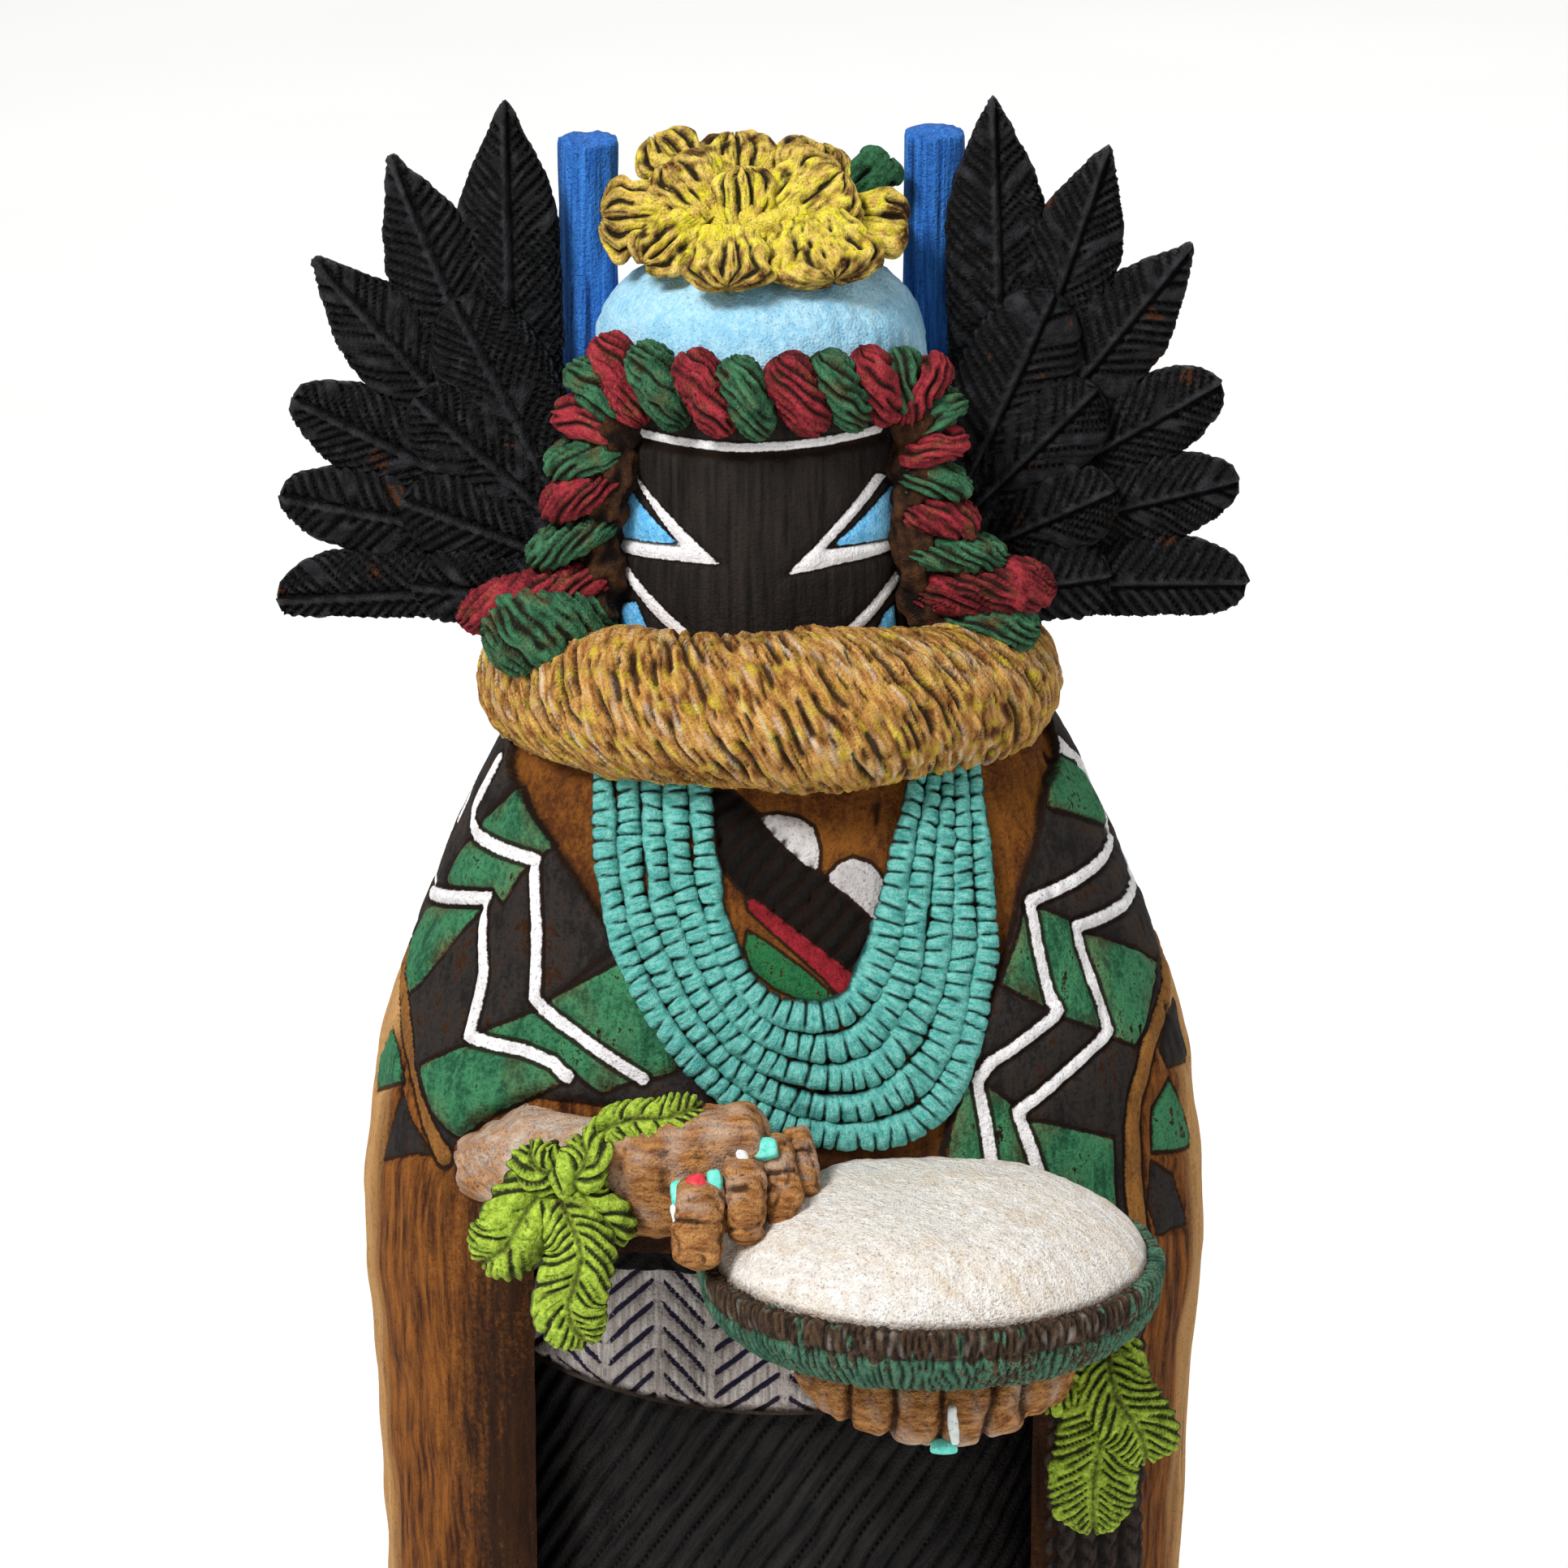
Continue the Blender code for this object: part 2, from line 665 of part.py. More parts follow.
def right_hand_forms():
    """The back of the hand, and four fingers bent down over the basket's edge."""
    low, high = RIGHT_KNUCKLES
    middle = (low + high) / 2
    across = high - low
    wrist = (WRIST_RADIUS, WRIST_RADIUS * 0.9)
    yield limb(RIGHT_WRIST, middle, wrist, (HAND_HALF_WIDTH, HAND_HALF_THICKNESS), 10, across)
    finger = (FINGER_RADIUS, FINGER_RADIUS)
    for k in range(4):
        share = (k + 0.4) / 3.8
        root = low.lerp(high, share)
        curl = RIGHT_CURL[0].lerp(RIGHT_CURL[1], share)
        bend = root + Vector((0.7 * curl.x, 0.9 * curl.y, 0.35 * curl.z))
        yield limb(root, bend, finger, finger, 6)
        yield limb(bend, root + curl, finger, (0.85 * FINGER_RADIUS,) * 2, 6)


def left_hand_forms():
    """The palm under the basket, and the fingers that point along its underside."""
    size = (HAND_HALF_WIDTH, HAND_HALF_THICKNESS * 1.1)
    level = Vector((0.35, 1, 0))
    wrist = (WRIST_RADIUS, WRIST_RADIUS)
    yield limb(LEFT_WRIST, LEFT_PALM, wrist, size, 10, level)
    for k in range(3):
        root = LEFT_PALM + Vector((0.8 * k, 5.2 * k - 6.4, 0)) * MM
        thick = (1.35 * FINGER_RADIUS, 1.5 * FINGER_RADIUS)
        thin = (FINGER_RADIUS, 0.8 * FINGER_RADIUS)
        yield limb(root, root + LEFT_FINGER_REACH, thick, thin, 8, level)


def arm_forms():
    forearm = (FOREARM_RADIUS, FOREARM_RADIUS)
    wrist = (WRIST_RADIUS, WRIST_RADIUS)
    yield limb(RIGHT_ELBOW, RIGHT_WRIST, forearm, wrist, 10)
    yield limb(LEFT_ELBOW, LEFT_WRIST, forearm, wrist, 10)
    yield from right_hand_forms()
    yield from left_hand_forms()


def leaf(root, tip, half_width):
    """A plump leaf with a rounded tip, from root to tip."""
    turn = aim(tip - root, FRONT)
    length = (tip - root).length
    rows = ((0.0, 0.40), (0.35, 0.95), (0.80, 0.92), (1.0, 0.36))

    def place(share, angle):
        along, swell = rows[round(share * 3)]
        thick = 0.5 * LEAF_THICKNESS * (0.5 + 0.5 * swell) * math.cos(angle)
        wide = half_width * swell * math.sin(angle)
        return root + turn @ Vector((thick, wide, along * length))

    return column(7, 4, place)


def sprig_forms(rows):
    for root, tip, half_width in rows:
        yield leaf(from_top(*root), from_top(*tip), half_width * MM)


def sash_form():
    """The sash's end, laid on the robe beside the recess."""
    ends = []
    for height in (SASH_BOTTOM, SASH_TOP):
        width, depth = robe_size(height)
        ends.append(Vector((SASH_X, front_of(width, depth, SASH_X) + 0.4 * MM, height)))
    low = front_of(width, depth, SASH_X - SASH_HALF_WIDTH)
    high = front_of(width, depth, SASH_X + SASH_HALF_WIDTH)
    along_robe = Vector((2 * SASH_HALF_WIDTH, high - low, 0))
    size = (SASH_HALF_WIDTH, SASH_HALF_THICKNESS)
    return limb(*ends, size, size, 8, along_robe)


def add_figure(collection, helpers, cutters, material):
    figure = add_object("figure", robe_form(), collection, material)
    cut_robe(cutters, material)
    boolean(figure, "DIFFERENCE", cutters)
    forms = [body_form(), dress_form(), overskirt_form(), head_form(), ruff_form()]
    forms += [boot_form(-1), boot_form(1), basket_form(), sash_form()]
    forms += [*wreath_forms(), *necklace_forms(), *arm_forms()]
    forms += [*sprig_forms(RIGHT_SPRIG), *sprig_forms(LEFT_SPRIG)]
    for k, form in enumerate(forms):
        add_helper(f"figure_form_{k:02d}", form, helpers, material)
    boolean(figure, "UNION", helpers)
    return figure


def add_rods(collection, sockets, figure, material):
    """The rods, and the sockets that they stand in with a glue gap."""
    for side, name, top in (
        (-1, "right_head_rod", RIGHT_ROD_TOP),
        (1, "left_head_rod", LEFT_ROD_TOP),
    ):
        rod = rod_form(side, ROD_RADIUS, ROD_FOOT, top, ROD_TOP_SLANT)
        add_object(name, rod, collection, material)
        radius = ROD_RADIUS + GLUE_GAP
        socket = rod_form(side, radius, ROD_FOOT - GLUE_GAP, top + ROD_RADIUS, 0)
        add_helper(name + "_socket", socket, sockets, material)
    boolean(figure, "DIFFERENCE", sockets)


def petal(angle, rise, length, half_width):
    """A petal with a broad round end, which leaves the crown's middle at an angle round it."""
    level = Vector((math.cos(angle), math.sin(angle), 0))
    out = level * math.cos(rise) + Vector((0, 0, math.sin(rise)))
    turn = aim(out, Vector((0, 0, 1)))
    rows = ((0.12, 0.45), (0.70, 1.0), (1.0, 0.62))

    def place(share, around):
        along, swell = rows[round(share * 2)]
        thick = 0.5 * PETAL_THICKNESS * (0.4 + 0.6 * swell) * math.cos(around)
        wide = half_width * swell * math.sin(around)
        droop = -PETAL_DROOP * length * along**2
        return CROWN_CENTRE + turn @ Vector((thick + droop, wide, along * length))

    return column(6, 3, place)


def add_crown(collection, helpers, cutters, material):
    """The crown: tiers of petals round a boss, hollowed to sit on the dome with a glue gap."""
    sizes = (CROWN_BOSS_RADIUS, CROWN_BOSS_RADIUS, 0.9 * CROWN_BOSS_RADIUS)
    boss = ellipsoid(CROWN_CENTRE, sizes, Matrix(), 8, 5)
    crown = add_object("petal_crown", boss, collection, material)
    add_helper("dome_cutter", head_form(GLUE_GAP), cutters, material)
    boolean(crown, "DIFFERENCE", cutters)
    for tier, (count, row) in enumerate(zip(PETALS_IN_TIER, CROWN_TIERS)):
        first, rise, length, half_width = row
        for k in range(count):
            angle = math.radians(first) + k * math.tau / count
            form = petal(angle, math.radians(rise), length * MM, half_width * MM)
            made = add_helper(f"petal_{tier}_{k}", form, helpers, material)
            boolean(made, "DIFFERENCE", cutters)
    boolean(crown, "UNION", helpers)
    return crown


def feather(side, root, tip, half_width, front, back):
    """A flat feather with a pointed end, from root to tip."""
    along = tip - root
    across = Vector((along.z, 0, -along.x)).normalized() * half_width
    outline = [root + along * s + across * w for s, w in FEATHER_PROFILE]
    outline += [root + along * s - across * w for s, w in reversed(FEATHER_PROFILE)]
    points = [(HEAD_X + side * p.x, p.z) for p in outline]
    return prism(points, front, back)


def fan_feathers(side):
    """The forms of the feathers of one fan, each a little in front of the one before."""
    pivot = Vector((FAN_INNER_EDGE, 0, ROBE_TOP + FAN_PIVOT_RISE))
    turn = Matrix.Rotation(-FAN_LEFT_TURN if side > 0 else 0, 3, "Y")
    for row, rise in ((BACK_FEATHERS, 0), (FRONT_FEATHERS, FRONT_FEATHER_RISE)):
        for k, (root, tip, half_width) in enumerate(row):
            ends = [from_top(x, 0, z) for x, z in (root, tip)]
            ends = [pivot + turn @ (end - pivot) for end in ends]
            front = -rise - k * FEATHER_STEP
            back = FEATHER_THICKNESS - rise - k * FEATHER_STEP / 2
            yield feather(side, *ends, half_width * MM, front, back)


def add_fan(name, side, collection, material):
    """One fan: feathers in two rows, trimmed to the head's side and to the ruff below."""
    helpers = new_collection(name + "_forms")
    cutters = new_collection(name + "_cutters")
    first, *others = fan_feathers(side)
    fan = add_object(name, first, collection, material)
    for k, form in enumerate(others):
        add_helper(f"{name}_feather_{k:02d}", form, helpers, material)
    boolean(fan, "UNION", helpers)
    far = 90 * MM
    lift = FAN_RUFF_NOTCH * math.tan(FAN_LEFT_TURN) * 1.6 if side > 0 else 0
    trim = [
        (-far, 0),
        (far, 0),
        (far, FAN_BOTTOM + lift),
        (FAN_RUFF_NOTCH, FAN_BOTTOM + lift),
        (FAN_RUFF_NOTCH, max(FAN_NOTCH_TOP, FAN_BOTTOM + lift)),
        (FAN_INNER_EDGE, max(FAN_NOTCH_TOP, FAN_BOTTOM + lift) + 0.2 * MM),
        (FAN_INNER_EDGE, 4 * far),
        (-far, 4 * far),
    ]
    trim = [(HEAD_X + side * x, z) for x, z in trim]
    add_helper(name + "_trim", prism(trim, -far, far), cutters, material)
    boolean(fan, "DIFFERENCE", cutters)
    return fan


def add_base(collection, material):
    def place(share, angle):
        x = BASE_HALF_WIDTH * math.cos(angle)
        y = BASE_HALF_DEPTH * math.sin(angle)
        return Vector((x, y, share * BASE_HEIGHT))

    base = add_object("base", column(36, 2, place), collection, material)
    bevel = base.modifiers.new("Rounded edge", "BEVEL")
    bevel.width = BASE_EDGE_ROUND
    bevel.segments = 1
    bevel.limit_method = "ANGLE"
    bevel.angle_limit = math.radians(60)
    return base


def main():
    clear_scene()
    doll = new_collection("kachina_doll")
    forms = new_collection("figure_forms")
    cutters = new_collection("figure_cutters")
    sockets = new_collection("rod_sockets")
    petals = new_collection("crown_forms")
    dome = new_collection("crown_cutters")
    wood = painted("stained_cottonwood", (0.36, 0.19, 0.08), 0.6)
    blue = painted("blue_paint", (0.03, 0.16, 0.55), 0.8)
    black = painted("black_paint", (0.012, 0.012, 0.014), 0.75)
    yellow = painted("yellow_paint", (0.62, 0.52, 0.05), 0.8)
    add_base(doll, wood)
    figure = add_figure(doll, forms, cutters, wood)
    add_rods(doll, sockets, figure, blue)
    add_crown(doll, petals, dome, yellow)
    add_fan("right_feather_fan", -1, doll, black)
    add_fan("left_feather_fan", 1, doll, black)


main()
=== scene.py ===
"""A carved and painted wooden kachina doll of the Crow Mother kind.

Sizes are in millimetres until a piece is made; the doll faces -Y and stands on its base at height 0.
"""

import math

import bpy
import numpy as np
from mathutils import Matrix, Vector


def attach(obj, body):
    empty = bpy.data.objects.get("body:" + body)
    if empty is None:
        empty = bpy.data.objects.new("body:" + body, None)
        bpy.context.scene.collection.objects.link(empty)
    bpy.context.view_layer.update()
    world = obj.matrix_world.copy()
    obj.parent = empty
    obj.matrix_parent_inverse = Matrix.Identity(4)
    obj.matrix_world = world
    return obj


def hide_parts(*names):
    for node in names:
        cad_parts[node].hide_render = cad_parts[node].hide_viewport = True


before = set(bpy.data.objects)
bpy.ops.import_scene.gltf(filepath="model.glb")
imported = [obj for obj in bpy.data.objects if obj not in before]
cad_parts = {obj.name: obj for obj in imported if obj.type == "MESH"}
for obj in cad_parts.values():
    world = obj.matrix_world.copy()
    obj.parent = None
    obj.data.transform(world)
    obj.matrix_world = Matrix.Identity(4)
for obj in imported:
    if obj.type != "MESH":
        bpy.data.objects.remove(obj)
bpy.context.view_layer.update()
scene = bpy.context.scene


# Stage
# A pale paper floor and soft studio light: a key from the upper left, a fill from the right and a
# wide light over the paper behind, as for a shop's photograph of a small carving.
def linear(code):
    """A colour given as sRGB hex, as the linear values that Blender's nodes take."""
    values = [int(code[i:i + 2], 16) / 255 for i in (1, 3, 5)]
    return (*[v / 12.92 if v < 0.04045 else ((v + 0.055) / 1.055) ** 2.4 for v in values], 1)


def add(tree, kind, inputs=None, **settings):
    """A node of a kind, with its settings, and its sockets set or linked."""
    made = tree.nodes.new("ShaderNode" + kind)
    for key, value in settings.items():
        setattr(made, key, value)
    for key, value in (inputs or {}).items():
        if isinstance(value, bpy.types.NodeSocket):
            tree.links.new(value, made.inputs[key])
        else:
            made.inputs[key].default_value = value
    return made


def new_material(name):
    """A material, its node tree and its shader."""
    made = bpy.data.materials.new(name)
    made.use_nodes = True
    return made, made.node_tree, made.node_tree.nodes["Principled BSDF"]


# Matte paper sweep: nearly white, with a faint unevenness so that the floor isn't one flat tone.
paper, tree, shader = new_material("matte_white_paper")
cloud = add(tree, "TexNoise", {"Vector": add(tree, "TexCoord").outputs["Object"], "Scale": 6.0})
tone = add(tree, "Mix", {0: cloud.outputs[0], 6: linear("#f4f4f2"), 7: linear("#fbfbfa")}, data_type="RGBA")
tree.links.new(tone.outputs[2], shader.inputs["Base Color"])
shader.inputs["Roughness"].default_value = 0.9

floor_mesh = bpy.data.meshes.new("floor")
floor_mesh.from_pydata([(-6, -6, 0), (6, -6, 0), (6, 6, 0), (-6, 6, 0)], [], [(0, 1, 2, 3)])
floor_mesh.materials.append(paper)
floor = bpy.data.objects.new("floor", floor_mesh)
scene.collection.objects.link(floor)

CAMERA_TARGET = Vector((0, -0.010, 0.197))
CAMERA_DISTANCE = 0.85
CAMERA_RISE = math.radians(14)
camera = bpy.data.objects.new("camera", bpy.data.cameras.new("camera"))
scene.collection.objects.link(camera)
away = Vector((0, -math.cos(CAMERA_RISE), math.sin(CAMERA_RISE)))
camera.location = CAMERA_TARGET + away * CAMERA_DISTANCE
camera.rotation_euler = (-away).to_track_quat("-Z", "Y").to_euler()
camera.data.lens = 172.16
camera.data.sensor_width = 36
scene.camera = camera

for name, place, size, power in (
    ("key", (-0.45, -0.62, 0.92), 0.28, 11.5),
    ("fill", (0.75, -0.55, 0.40), 0.60, 1.2),
    ("back", (0.10, 1.50, 1.35), 2.40, 25.0),
):
    light = bpy.data.objects.new(name, bpy.data.lights.new(name, "AREA"))
    light.data.size = size
    light.data.energy = power
    light.location = place
    aim = Vector((0, 1.2, 0) if name == "back" else (0, -0.01, 0.17))
    light.rotation_euler = (aim - Vector(place)).to_track_quat("-Z", "Y").to_euler()
    scene.collection.objects.link(light)
world = bpy.data.worlds.new("studio")
world.use_nodes = True
sky = world.node_tree.nodes["Background"]
sky.inputs["Color"].default_value = (1, 1, 1, 1)
sky.inputs["Strength"].default_value = 0.36
scene.world = world
scene.view_settings.view_transform = "Standard"


# Robe
# The outer form of one block of cottonwood root: a robe with a cape carved and painted over its
# shoulders, open at the neck, and a recess down the front that shows the dress.
def rough(points, size, seed):
    """The unevenness of hand cutting, mostly between -1 and 1, with features of about a size."""
    rng = np.random.default_rng(seed)
    total = np.zeros(points.shape[:-1])
    for _ in range(16):
        way = rng.normal(size=3)
        way *= math.tau / size / np.linalg.norm(way) * rng.uniform(0.5, 1.4)
        total += np.sin(points @ way + rng.uniform(0, math.tau))
    return total / 5


def smooth(value, low, high):
    """0 below low, 1 above high, with an even slope between."""
    share = np.clip((value - low) / (high - low), 0, 1)
    return share * share * (3 - 2 * share)


def mark(distance, width):
    """1 on a line, fading to nearly 0 at twice a width from it."""
    return np.exp(-((distance / width) ** 2))


def spread(x, y, z):
    """Points or directions from three coordinates, each spread over the whole grid."""
    return np.stack(np.broadcast_arrays(x, y, z), -1)


def stroke(across, up, points):
    """Distance from an open line."""
    nearest = np.full(across.shape, 1e9)
    for (ax, az), (bx, bz) in zip(points, points[1:]):
        dx, dz = bx - ax, bz - az
        share = np.clip(((across - ax) * dx + (up - az) * dz) / (dx * dx + dz * dz), 0, 1)
        nearest = np.minimum(nearest, np.hypot(across - ax - dx * share, up - az - dz * share))
    return nearest


def outline(across, up, corners):
    """Distance from a closed outline, positive inside it."""
    closed = [*corners, corners[0]]
    inside = np.zeros(across.shape, bool)
    for (ax, az), (bx, bz) in zip(closed, closed[1:]):
        if bz != az:
            inside ^= ((az > up) != (bz > up)) & (across < (bx - ax) * (up - az) / (bz - az) + ax)
    nearest = stroke(across, up, closed)
    return np.where(inside, nearest, -nearest)


def curve(points, count):
    """Evenly spaced points of a smooth curve through the given ones."""
    p = np.array(points, float)
    p = np.vstack([2 * p[0] - p[1], p, 2 * p[-1] - p[-2]])
    t = np.linspace(0, 1, 24, endpoint=False)[:, None]
    dense = [
        0.5 * (2 * b + (c - a) * t + (2 * a - 5 * b + 4 * c - d) * t**2 + (3 * b - a - 3 * c + d) * t**3)
        for a, b, c, d in zip(p, p[1:], p[2:], p[3:])
    ]
    dense = np.vstack([*dense, p[-2]])
    reach = np.r_[0, np.cumsum(np.linalg.norm(np.diff(dense, axis=0), axis=1))]
    steps = np.linspace(0, reach[-1], count)
    return np.stack([np.interp(steps, reach, dense[:, k]) for k in range(p.shape[1])], 1)


def sheet(points, height=0, wrap=True, caps=True, keep=None, spare=False, **values):
    """A carved surface: rows of points that are moved out along their own normal. A spare one
    keeps a third of its columns where it faces the back."""
    across = np.roll(points, -1, 1) - np.roll(points, 1, 1)
    if not wrap:
        across[:, 0] = points[:, 1] - points[:, 0]
        across[:, -1] = points[:, -1] - points[:, -2]
    normal = np.cross(across, np.gradient(points, axis=0))
    normal /= np.maximum(np.linalg.norm(normal, axis=2, keepdims=True), 1e-9)
    moved = points + normal * np.asarray(height)[..., None]
    if spare:
        columns = np.arange(moved.shape[1])
        kept = (normal[..., 1].mean(0) < 0.25) | (columns % 3 == 0)
        for key, value in values.items():
            size = moved.shape if key == "lay" else moved.shape[:2]
            values[key] = np.broadcast_to(np.asarray(value, float), size)[:, kept]
        moved = moved[:, kept]
    return {"points": moved, "wrap": wrap, "caps": caps and wrap, "keep": keep, "values": values}


def carve(name, sheets, material, node):
    """Joins carved surfaces into one piece that stands for a CAD node."""
    verts, faces, start = [], [], 0
    values = {key: [] for form in sheets for key in form["values"]}
    for form in sheets:
        rows, columns = form["points"].shape[:2]
        index = np.arange(rows * columns).reshape(rows, columns) + start
        after = np.roll(index, -1, 1)
        used = columns if form["wrap"] else columns - 1
        quads = np.stack([index[:-1], after[:-1], after[1:], index[1:]], 2)[:, :used]
        if form["keep"] is not None:
            quads = quads[form["keep"][:, :used]]
        faces += quads.reshape(-1, 4).tolist()
        ends = [form["points"][0].mean(0), form["points"][-1].mean(0)] if form["caps"] else []
        verts += [form["points"].reshape(-1, 3), *[end[None] for end in ends]]
        if ends:
            low, high = start + rows * columns, start + rows * columns + 1
            faces += [(low, b, a) for a, b in zip(index[0], after[0])]
            faces += [(high, a, b) for a, b in zip(index[-1], after[-1])]
        for key, kept in values.items():
            size = (rows, columns, 3) if key == "lay" else (rows, columns)
            value = np.broadcast_to(np.asarray(form["values"].get(key, 0.0), float), size)
            kept.append(value.reshape(rows * columns, -1))
            if ends:
                kept += [end.reshape(columns, -1).mean(0)[None] for end in (value[0], value[-1])]
        start += rows * columns + len(ends)
    mesh = bpy.data.meshes.new(name)
    mesh.from_pydata((np.vstack(verts) * 0.001).tolist(), [], faces)
    for key, kept in values.items():
        flat = np.vstack(kept).astype(np.float32)
        kind, field = ("FLOAT_VECTOR", "vector") if key == "lay" else ("FLOAT", "value")
        mesh.attributes.new(key, kind, "POINT").data.foreach_set(field, flat.ravel())
    mesh.shade_smooth()
    mesh.materials.append(material)
    made = bpy.data.objects.new(name, mesh)
    scene.collection.objects.link(made)
    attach(made, "root")
    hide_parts(node)


def finish(name, ground, layers=(), stain_and_shade="#1c100a", grain=(900, 900, 55), lay=None, speck=1500,
           roughness=0.82, relief=0.00022, wash=0.9, gloss=0.2, pores=0.55, soft=()):
    """Paint or stain on cut wood. The ground shows two tones along the grain. Each layer lies where
    its own attribute is above 0, inside a dark incised ring, and is rubbed thin in places; a soft
    one is dry-brushed and has no clear edge. Dark stain stays in the cuts and in the pores, and the
    same dark is painted as shade where a piece asks for it."""
    material, tree, shader = new_material(name)
    place = add(tree, "TexCoord").outputs["Object"]

    def read(attribute, output="Fac"):
        return add(tree, "Attribute", attribute_name=attribute).outputs[output]

    def noise(vector, scale, detail, coarse=0.5):
        sockets = {"Vector": vector, "Scale": scale, "Detail": detail, "Roughness": coarse}
        return add(tree, "TexNoise", sockets).outputs[0]

    def plus(a, b):
        return add(tree, "Math", {0: a, 1: b}, operation="ADD").outputs[0]

    def times(a, b):
        return add(tree, "Math", {0: a, 1: b}, operation="MULTIPLY").outputs[0]

    def ramp(value, low, high, start=0.0, end=1.0):
        sockets = {"Value": value, "From Min": low, "From Max": high, "To Min": start, "To Max": end}
        return add(tree, "MapRange", sockets).outputs[0]

    def blend(share, under, over):
        return add(tree, "Mix", {0: share, 6: under, 7: over}, data_type="RGBA").outputs[2]

    along = {0: read("lay", "Vector"), 1: lay} if lay else {0: place, 1: grain}
    fibre = noise(add(tree, "VectorMath", along, operation="MULTIPLY").outputs[0], 1.0, 5.0, 0.66)
    dots = noise(place, speck, 3.0, 0.7)
    grit = noise(place, 2.1 * speck, 2.0, 0.6)
    mixed = plus(plus(fibre, dots), noise(place, 150.0, 3.0))
    colour = blend(ramp(fibre, 0.36, 0.64), linear(ground[0]), linear(ground[1]))
    jitter = ramp(dots, 0.3, 0.7, -0.09, 0.09)
    cut = plus(read("cut"), ramp(dots, 0.3, 0.7, -0.16, 0.16))
    for attribute, first, second, worn, ring in layers:
        depth = plus(read(attribute), jitter)
        if ring:
            colour = blend(ramp(depth, -ring - 0.1, -ring + 0.1, 0.0, wash), colour, linear(stain_and_shade))
        if attribute in soft:
            cover = times(ramp(depth, -0.7, 0.9), ramp(mixed, 1.15 + worn, 1.75 + worn, 1.0, 0.0))
        else:
            shape = ramp(depth, ring - 0.07, ring + 0.07)
            cover = times(shape, ramp(mixed, 1.28 + worn, 1.42 + worn, 1.0, 0.0))
        colour = blend(cover, colour, blend(ramp(mixed, 1.28, 1.72), linear(first), linear(second)))
    colour = blend(ramp(grit, 0.40, 0.30, 0.0, pores), colour, linear(stain_and_shade))
    # Dark stain in the cuts, and painted shade where a piece asks for it, both in the stain colour.
    colour = blend(ramp(cut, 0.18, 0.72, 0.0, wash), colour, linear(stain_and_shade))
    tree.links.new(colour, shader.inputs["Base Color"])
    tree.links.new(ramp(mixed, 1.2, 1.8, roughness - 0.08, roughness + 0.08), shader.inputs["Roughness"])
    shader.inputs["Specular IOR Level"].default_value = gloss
    height = plus(mixed, ramp(grit, 0.25, 0.6, -0.4, 0.0))
    bump = add(tree, "Bump", {"Height": height, "Distance": relief, "Strength": 1.0})
    tree.links.new(bump.outputs[0], shader.inputs["Normal"])
    return material


SECTION_POWER = 2.3
BASE_HEIGHT = 8.0
ROBE_TOP = 212.0
# Share of the robe's height, half width and half depth in millimetres.
ROBE_PROFILE = curve([
    (0.000, 44.1, 31.0), (0.310, 45.5, 32.0), (0.565, 47.3, 33.0), (0.660, 48.7, 33.5), (0.735, 47.5, 32.4),
    (0.795, 45.1, 31.0), (0.860, 40.2, 28.5), (0.921, 34.8, 25.0), (0.962, 30.1, 21.8), (1.000, 23.4, 18.5),
], 120)
RECESS_HALF_WIDTH = 29.0
RECESS_TOP = 148.0
ROBE_THICKNESS = 1.4


def robe_size(height):
    """The robe's half width and half depth at a height."""
    share = (height - BASE_HEIGHT) / (ROBE_TOP - BASE_HEIGHT)
    return [np.interp(share, ROBE_PROFILE[:, 0], ROBE_PROFILE[:, k]) for k in (1, 2)]


def section(width, depth, turn, height):
    """A point of the rounded section; turn is measured from the front towards the left."""
    s, c = np.sin(turn), np.cos(turn)
    reach = (np.abs(s) ** SECTION_POWER + np.abs(c) ** SECTION_POWER) ** (-1 / SECTION_POWER)
    return spread(width * reach * s, -depth * reach * c, height)


def front_of(width, depth, x):
    """How far forward the rounded section's surface lies at an x."""
    share = np.minimum(np.abs(x) / width, 0.985)
    return -depth * (1 - share**SECTION_POWER) ** (1 / SECTION_POWER)


# The cape's lines, unrolled: distance round the robe from the middle of its front, and height.
NECK = [(-40, 212), (-36.7, 199.2), (-31.3, 195.9), (-27.3, 192.5), (-24.4, 189.7), (-19, 182.8),
        (-16.8, 180), (-11.9, 172.5), (-8, 165), (-6, 158), (4, 151), (16, 151), (18.1, 160.6), (19.6, 166),
        (21.1, 169.3), (23.3, 174.9), (24.8, 178.7), (28, 187.9), (30.2, 192.2), (32.5, 196.9),
        (37.9, 200.2), (40, 212)]
CAPE = [(-140, 180), (-75, 177.5), (-55.7, 173.6), (-51.9, 170.8), (-48.4, 167.2), (-45.4, 163.1),
        (-43.3, 159.4), (-41, 156.2), (-38.8, 158.7), (-36.9, 160), (-33.8, 162.3), (-28.3, 165.1),
        (-22, 164.9), (-9, 163.6), (-6, 150), (15, 146), (43.9, 143.8), (43.1, 149.3), (42.6, 154.4),
        (42.5, 159.4), (43.6, 162.8), (46.1, 167.8), (55.1, 172.5), (61.6, 174.3), (75, 177.5),
        (140, 180), (140, 220), (-140, 220)]
BORDERS = [
    [(-140, 180), (-75, 177.5), (-55.7, 173.6), (-51.9, 170.8), (-48.4, 167.2), (-45.4, 163.1),
     (-43.3, 159.4), (-41.4, 156.6)],
    [(140, 180), (75, 177.5), (61.6, 174.3), (55.1, 172.5), (46.1, 167.8), (43.6, 162.8), (42.5, 159.4),
     (42.6, 154.4), (43.1, 149.3), (43.9, 143.8)],
]
